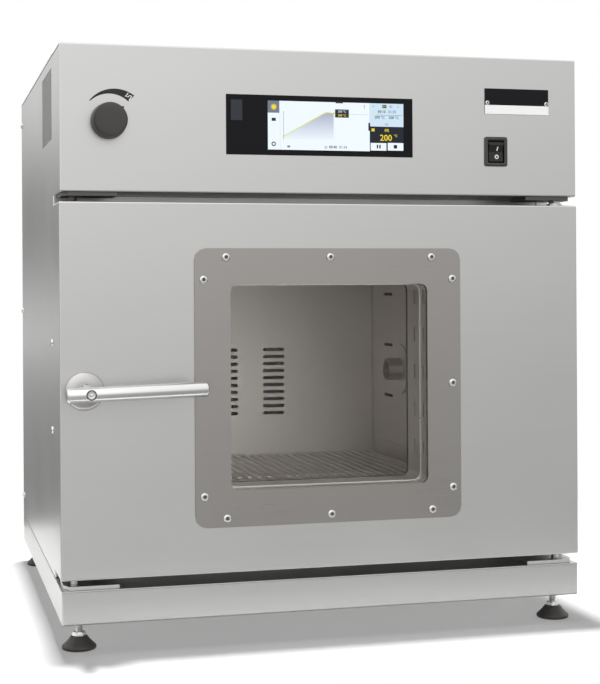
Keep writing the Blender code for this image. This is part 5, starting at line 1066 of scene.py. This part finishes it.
def build_switch():
    """Mains switch: rounded, stepped bezel, a bevelled rocker and its I and O marks."""
    low, high = box("switch_housing")
    rocker_low, rocker_high = box("power_rocker")
    flange_back = box("control_fascia")[0].y - LIFT
    loops = [rounded_loop(low, high, BEZEL_BODY, BEZEL_BODY_RADIUS, high.y),
             rounded_loop(low, high, BEZEL_BODY, BEZEL_BODY_RADIUS, flange_back),
             rounded_loop(low, high, 0, BEZEL_RADIUS, flange_back)]
    loops += [rounded_loop(low, high, inset, radius, low.y + depth) for inset, radius, depth in BEZEL_FACE]
    loops += [rounded_loop(low, high, *BEZEL_FACE[-1][:2], high.y - BEZEL_FLOOR)]
    bezel = bmesh.new()
    add_loops(bezel, loops)
    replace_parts(made("switch_bezel", bezel, BEZEL, "case"), "switch_housing")
    pivot = (middle(rocker_low, rocker_high).x, low.y + ROCKER_PIVOT_DEPTH, middle(low, high).z)
    rest = Matrix.Translation(metres(pivot)) @ Matrix.Rotation(math.radians(ROCKER_TILT_DEG), 4, "X")
    half = (rocker_high.x - rocker_low.x) / 2
    halves = [half - ROCKER_BEVEL if ahead > ROCKER_BEVEL_START else half for along, ahead in ROCKER_SIDE]
    ends = [[(side * reach, -ahead, along) for reach, (along, ahead) in zip(halves, ROCKER_SIDE)]
            for side in SIDES]
    rocker = bmesh.new()
    add_loops(rocker, ends, rest)
    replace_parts(made("switch_rocker", rocker, ROCKER, "rocker", 5), "power_rocker")
    vee = rest @ Matrix.Translation(metres((0, -ROCKER_SIDE[0][1], 0)))
    marks, stroke, ring = bmesh.new(), bmesh.new(), bmesh.new()
    add_prism(stroke, STROKE_MARK, -LIFT, LIFT)
    merge(marks, stroke, vee @ Matrix.Rotation(math.radians(ROCKER_VEE_DEG), 4, "X"))
    add_rings(ring, RING_MARK, (RING_MARK_X, LIFT, RING_MARK_Z), FORWARD, SCREW_STEPS, closed=True)
    merge(marks, ring, vee @ Matrix.Rotation(-math.radians(ROCKER_VEE_DEG), 4, "X"))
    made("rocker_marks", marks, PALE_PRINT, "rocker")


def build_side_label():
    """The bare label on the left side."""
    low, high = box("left_side_panel")
    label = bmesh.new()
    label_y, label_z = low.y + SIDE_LABEL_INSET, high.z - SIDE_LABEL_DROP
    add_box(label, (low.x - 3 * LIFT, label_y, label_z),
            (low.x - LIFT, label_y + SIDE_LABEL_DEPTH, label_z + SIDE_LABEL_HEIGHT), LIFT, 1)
    made("side_label", label, LABEL, "case")


def build_fascia_shadow_lines():
    """Painted shadow: dark strips along the folded top edges of the fascia, where the gap under the top
    cover falls in shade.
    """
    low, high = box("control_fascia")
    for name, x, side in (("left", low.x, -1), ("right", high.x, 1)):
        seam = bmesh.new()
        near, far = sorted((x + side * 0.2 * LIFT, x + side * 1.2 * LIFT))
        add_box(seam, (near, low.y + SEAM_INSET, high.z - SEAM_LOW), (far, high.y, high.z - SEAM_HIGH))
        made("fascia_shadow_line_" + name, seam, SEAM_SHADOW_PAINT, "case")


def build_hinge_hardware():
    """Washer and nut on the upper hinge pin, in the gap above the door."""
    plate_high = box("hinge_plate_upper")[1]
    bush_low, bush_high = box("hinge_bush_upper")
    x, y = middle(bush_low, bush_high).x, middle(bush_low, bush_high).y
    stack = bmesh.new()
    add_rings(stack, WASHER, (x, y, bush_high.z + WASHER_GAP), UPWARD, closed=True)
    add_rings(stack, HINGE_NUT, (x, y, plate_high.z - HINGE_NUT_DROP), UPWARD, SCREW_STEPS, closed=True)
    made("upper_hinge_washers", stack, SCREW, "case")


def build_shelf():
    """Round-wired shelf with a thicker rim and two cross bars."""
    low, high = box("wire_shelf")
    centre = middle(low, high)
    side = high.x - RIM_RADIUS
    front, back = low.y + RIM_RADIUS, high.y - RIM_RADIUS
    corners = ((side - RIM_CORNER, back - RIM_CORNER), (RIM_CORNER - side, back - RIM_CORNER),
               (RIM_CORNER - side, front + RIM_CORNER), (side - RIM_CORNER, front + RIM_CORNER))
    rim = [(*round_point(x, y, RIM_CORNER, 90 * quarter + 15 * step), centre.z)
           for quarter, (x, y) in enumerate(corners) for step in range(7)]
    shelf = bmesh.new()
    add_wire(shelf, rim, RIM_RADIUS, closed=True)
    pitch = 2 * side / (WIRE_COUNT + 1)
    wire_z = centre.z + WIRE_RISE
    for index in range(WIRE_COUNT):
        x = (index - (WIRE_COUNT - 1) / 2) * pitch
        inset = max(0, abs(x) + RIM_CORNER - side)
        reach = (back - front) / 2 - RIM_CORNER + math.sqrt(RIM_CORNER ** 2 - inset ** 2)
        add_wire(shelf, [(x, centre.y + end * reach, wire_z) for end in SIDES], WIRE_RADIUS)
    for share in CROSS_BAR_SHARES:
        y = front + (back - front) * share
        add_wire(shelf, [(end * side, y, centre.z - CROSS_BAR_DROP) for end in SIDES], CROSS_BAR_RADIUS)
    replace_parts(made("shelf_wires", shelf, SHELF_WIRE, "shelf"), "wire_shelf")


def seen_rays(nodes, links, strength):
    """The strength for camera, glossy and transmission rays, and zero for the rest."""
    path = nodes.new("ShaderNodeLightPath")
    seen = calculated(nodes, links, "MAXIMUM", path.outputs["Is Camera Ray"], path.outputs["Is Glossy Ray"])
    seen = calculated(nodes, links, "MAXIMUM", seen, path.outputs["Is Transmission Ray"])
    return calculated(nodes, links, "MULTIPLY", seen, strength)


def floor_finish():
    """Matt white, a little lit for the camera and for glossy and transmission rays."""
    material, nodes, links, output = new_material("pale_floor")
    matt = nodes.new("ShaderNodeBsdfDiffuse")
    matt.inputs["Color"].default_value = (FLOOR_COLOUR, FLOOR_COLOUR, FLOOR_COLOUR, 1)
    glow = nodes.new("ShaderNodeEmission")
    links.new(seen_rays(nodes, links, FLOOR_GLOW), glow.inputs["Strength"])
    total = nodes.new("ShaderNodeAddShader")
    links.new(matt.outputs["BSDF"], total.inputs[0])
    links.new(glow.outputs["Emission"], total.inputs[1])
    links.new(total.outputs["Shader"], output.inputs["Surface"])
    return material


def floor_piece(name, outline, material):
    """A flat piece of floor with the given corners, in metres."""
    part = bmesh.new()
    part.faces.new([part.verts.new((x, y, 0)) for x, y in outline])
    mesh = bpy.data.meshes.new(name)
    part.to_mesh(mesh)
    part.free()
    floor = bpy.data.objects.new(name, mesh)
    floor.location.z = -LIFT * MM
    bpy.context.scene.collection.objects.link(floor)
    mesh.materials.append(material)
    floor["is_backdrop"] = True
    return floor


def build_stage():
    """A plain pale floor that keeps the object's shadow, and more floor for the open door's shadow."""
    material = floor_finish()
    left, right, front, back = -FLOOR_HALF, FLOOR_HALF, FLOOR_FRONT_Y, FLOOR_HALF
    floor_piece("floor", rectangle(left, front, right, back), material)
    swing = floor_piece("floor_of_open_door", (
        (SWING_LEFT_X, front), (SWING_LEFT_X, SWING_FRONT_Y), (SWING_RIGHT_X, SWING_FRONT_Y),
        (SWING_RIGHT_X, back), (right, back), (right, front)), material)
    swing.visible_glossy = False


def ramp(nodes, links, value, low, high, stops):
    """A value from stops (place, level) over a range of another value."""
    colours = nodes.new("ShaderNodeValToRGB")
    elements = colours.color_ramp.elements
    while len(elements) < len(stops):
        elements.new(0.5)
    for element, (place, level) in zip(elements, stops):
        element.position = (place - low) / (high - low)
        element.color = (level, level, level, 1)
    links.new(ranged(nodes, links, value, low, high), colours.inputs["Fac"])
    return colours.outputs["Color"]


def turn_ramp(nodes, links, azimuth, stops):
    """A value from stops (degrees, level) round the horizon."""
    return ramp(nodes, links, azimuth, -math.pi, math.pi,
                [(math.radians(degrees), level) for degrees, level in stops])


def studio_level(nodes, links):
    """How bright the studio looks to steel, by direction: a soft box in front, a dimmer room behind."""
    place = nodes.new("ShaderNodeTexCoord")
    parts = nodes.new("ShaderNodeSeparateXYZ")
    links.new(place.outputs["Generated"], parts.inputs["Vector"])
    ahead = calculated(nodes, links, "MULTIPLY", parts.outputs["Y"], -1)
    azimuth = calculated(nodes, links, "ARCTAN2", parts.outputs["X"], ahead)
    rise = parts.outputs["Z"]
    front = calculated(nodes, links, "MULTIPLY", turn_ramp(nodes, links, azimuth, FRONT_ACROSS),
                       ramp(nodes, links, rise, -1, 1, FRONT_UP))
    rear = ramp(nodes, links, rise, REAR_UP[0][0], REAR_UP[-1][0], REAR_UP)
    return mixed(nodes, links, turn_ramp(nodes, links, azimuth, REAR_SHARE), front, rear)


def build_world():
    """White for the camera, the studio's soft light for steel, and a plain level for the rest."""
    world = bpy.data.worlds.new("studio")
    bpy.context.scene.world = world
    world.use_nodes = True
    nodes, links = world.node_tree.nodes, world.node_tree.links
    nodes.clear()
    output = nodes.new("ShaderNodeOutputWorld")
    background = nodes.new("ShaderNodeBackground")
    background.inputs["Color"].default_value = (1, 1, 1, 1)
    path = nodes.new("ShaderNodeLightPath")
    level = mixed(nodes, links, path.outputs["Is Glossy Ray"], WORLD_FILL, studio_level(nodes, links))
    seen = calculated(nodes, links, "MAXIMUM", path.outputs["Is Camera Ray"],
                      path.outputs["Is Transmission Ray"])
    links.new(mixed(nodes, links, seen, level, 1.0), background.inputs["Strength"])
    links.new(background.outputs["Background"], output.inputs["Surface"])


def soft_lamp(name, place, target, size, power):
    """A square soft lamp that metal doesn't show."""
    light = bpy.data.lights.new(name, "AREA")
    light.shape = "SQUARE"
    light.size = size
    light.energy = power
    lamp = bpy.data.objects.new(name, light)
    lamp.location = place
    aim = Vector(target) - Vector(place)
    lamp.rotation_euler = aim.to_track_quat("-Z", "Y").to_euler()
    lamp.visible_glossy = False
    bpy.context.scene.collection.objects.link(lamp)
    return lamp


def spare_the_lever(lamp):
    """The lamp casts no shadow of the lever, which the photograph's floor lacks too."""
    blockers = bpy.data.collections.new(lamp.name + "_blockers")
    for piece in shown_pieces():
        if not piece.name.startswith(("door_lever", "lever_screw")):
            blockers.objects.link(piece)
    lamp.light_linking.blocker_collection = blockers


def light_pieces_only(lamp):
    """The lamp lights the oven and leaves the floor's shadow alone."""
    lit_pieces = bpy.data.collections.new(lamp.name + "_lit_pieces")
    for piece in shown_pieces():
        lit_pieces.objects.link(piece)
    lamp.light_linking.receiver_collection = lit_pieces


def build_camera():
    """The photograph's viewpoint."""
    yaw, roll = math.radians(CAMERA_YAW_DEG), math.radians(CAMERA_ROLL_DEG)
    forward = Vector((math.sin(yaw), math.cos(yaw), 0))
    level = Vector((math.cos(yaw), -math.sin(yaw), 0))
    upright = Vector(UPWARD)
    right = math.cos(roll) * level + math.sin(roll) * upright
    top = math.cos(roll) * upright - math.sin(roll) * level
    data = bpy.data.cameras.new("camera")
    data.sensor_width = CAMERA_SENSOR
    data.lens = CAMERA_LENS
    data.shift_x, data.shift_y = CAMERA_SHIFT
    camera = bpy.data.objects.new("camera", data)
    turn = Matrix((right, top, -forward)).transposed().to_4x4()
    camera.matrix_world = Matrix.Translation(CAMERA_PLACE) @ turn
    bpy.context.scene.collection.objects.link(camera)
    bpy.context.scene.camera = camera


bpy.context.scene.view_settings.view_transform = "Standard"
dress_nodes()
build_window_screws()
build_side_screws()
build_rear_fittings()
build_top_screws()
build_feet()
build_handle()
build_knob()
build_display()
build_name_plate()
build_switch()
build_side_label()
build_fascia_shadow_lines()
build_hinge_hardware()
build_shelf()
build_stage()
build_world()
spare_the_lever(soft_lamp("key", KEY_PLACE, KEY_TARGET, KEY_SIZE, KEY_POWER))
light_pieces_only(soft_lamp("fill", FILL_PLACE, FILL_TARGET, FILL_SIZE, FILL_POWER))
build_camera()
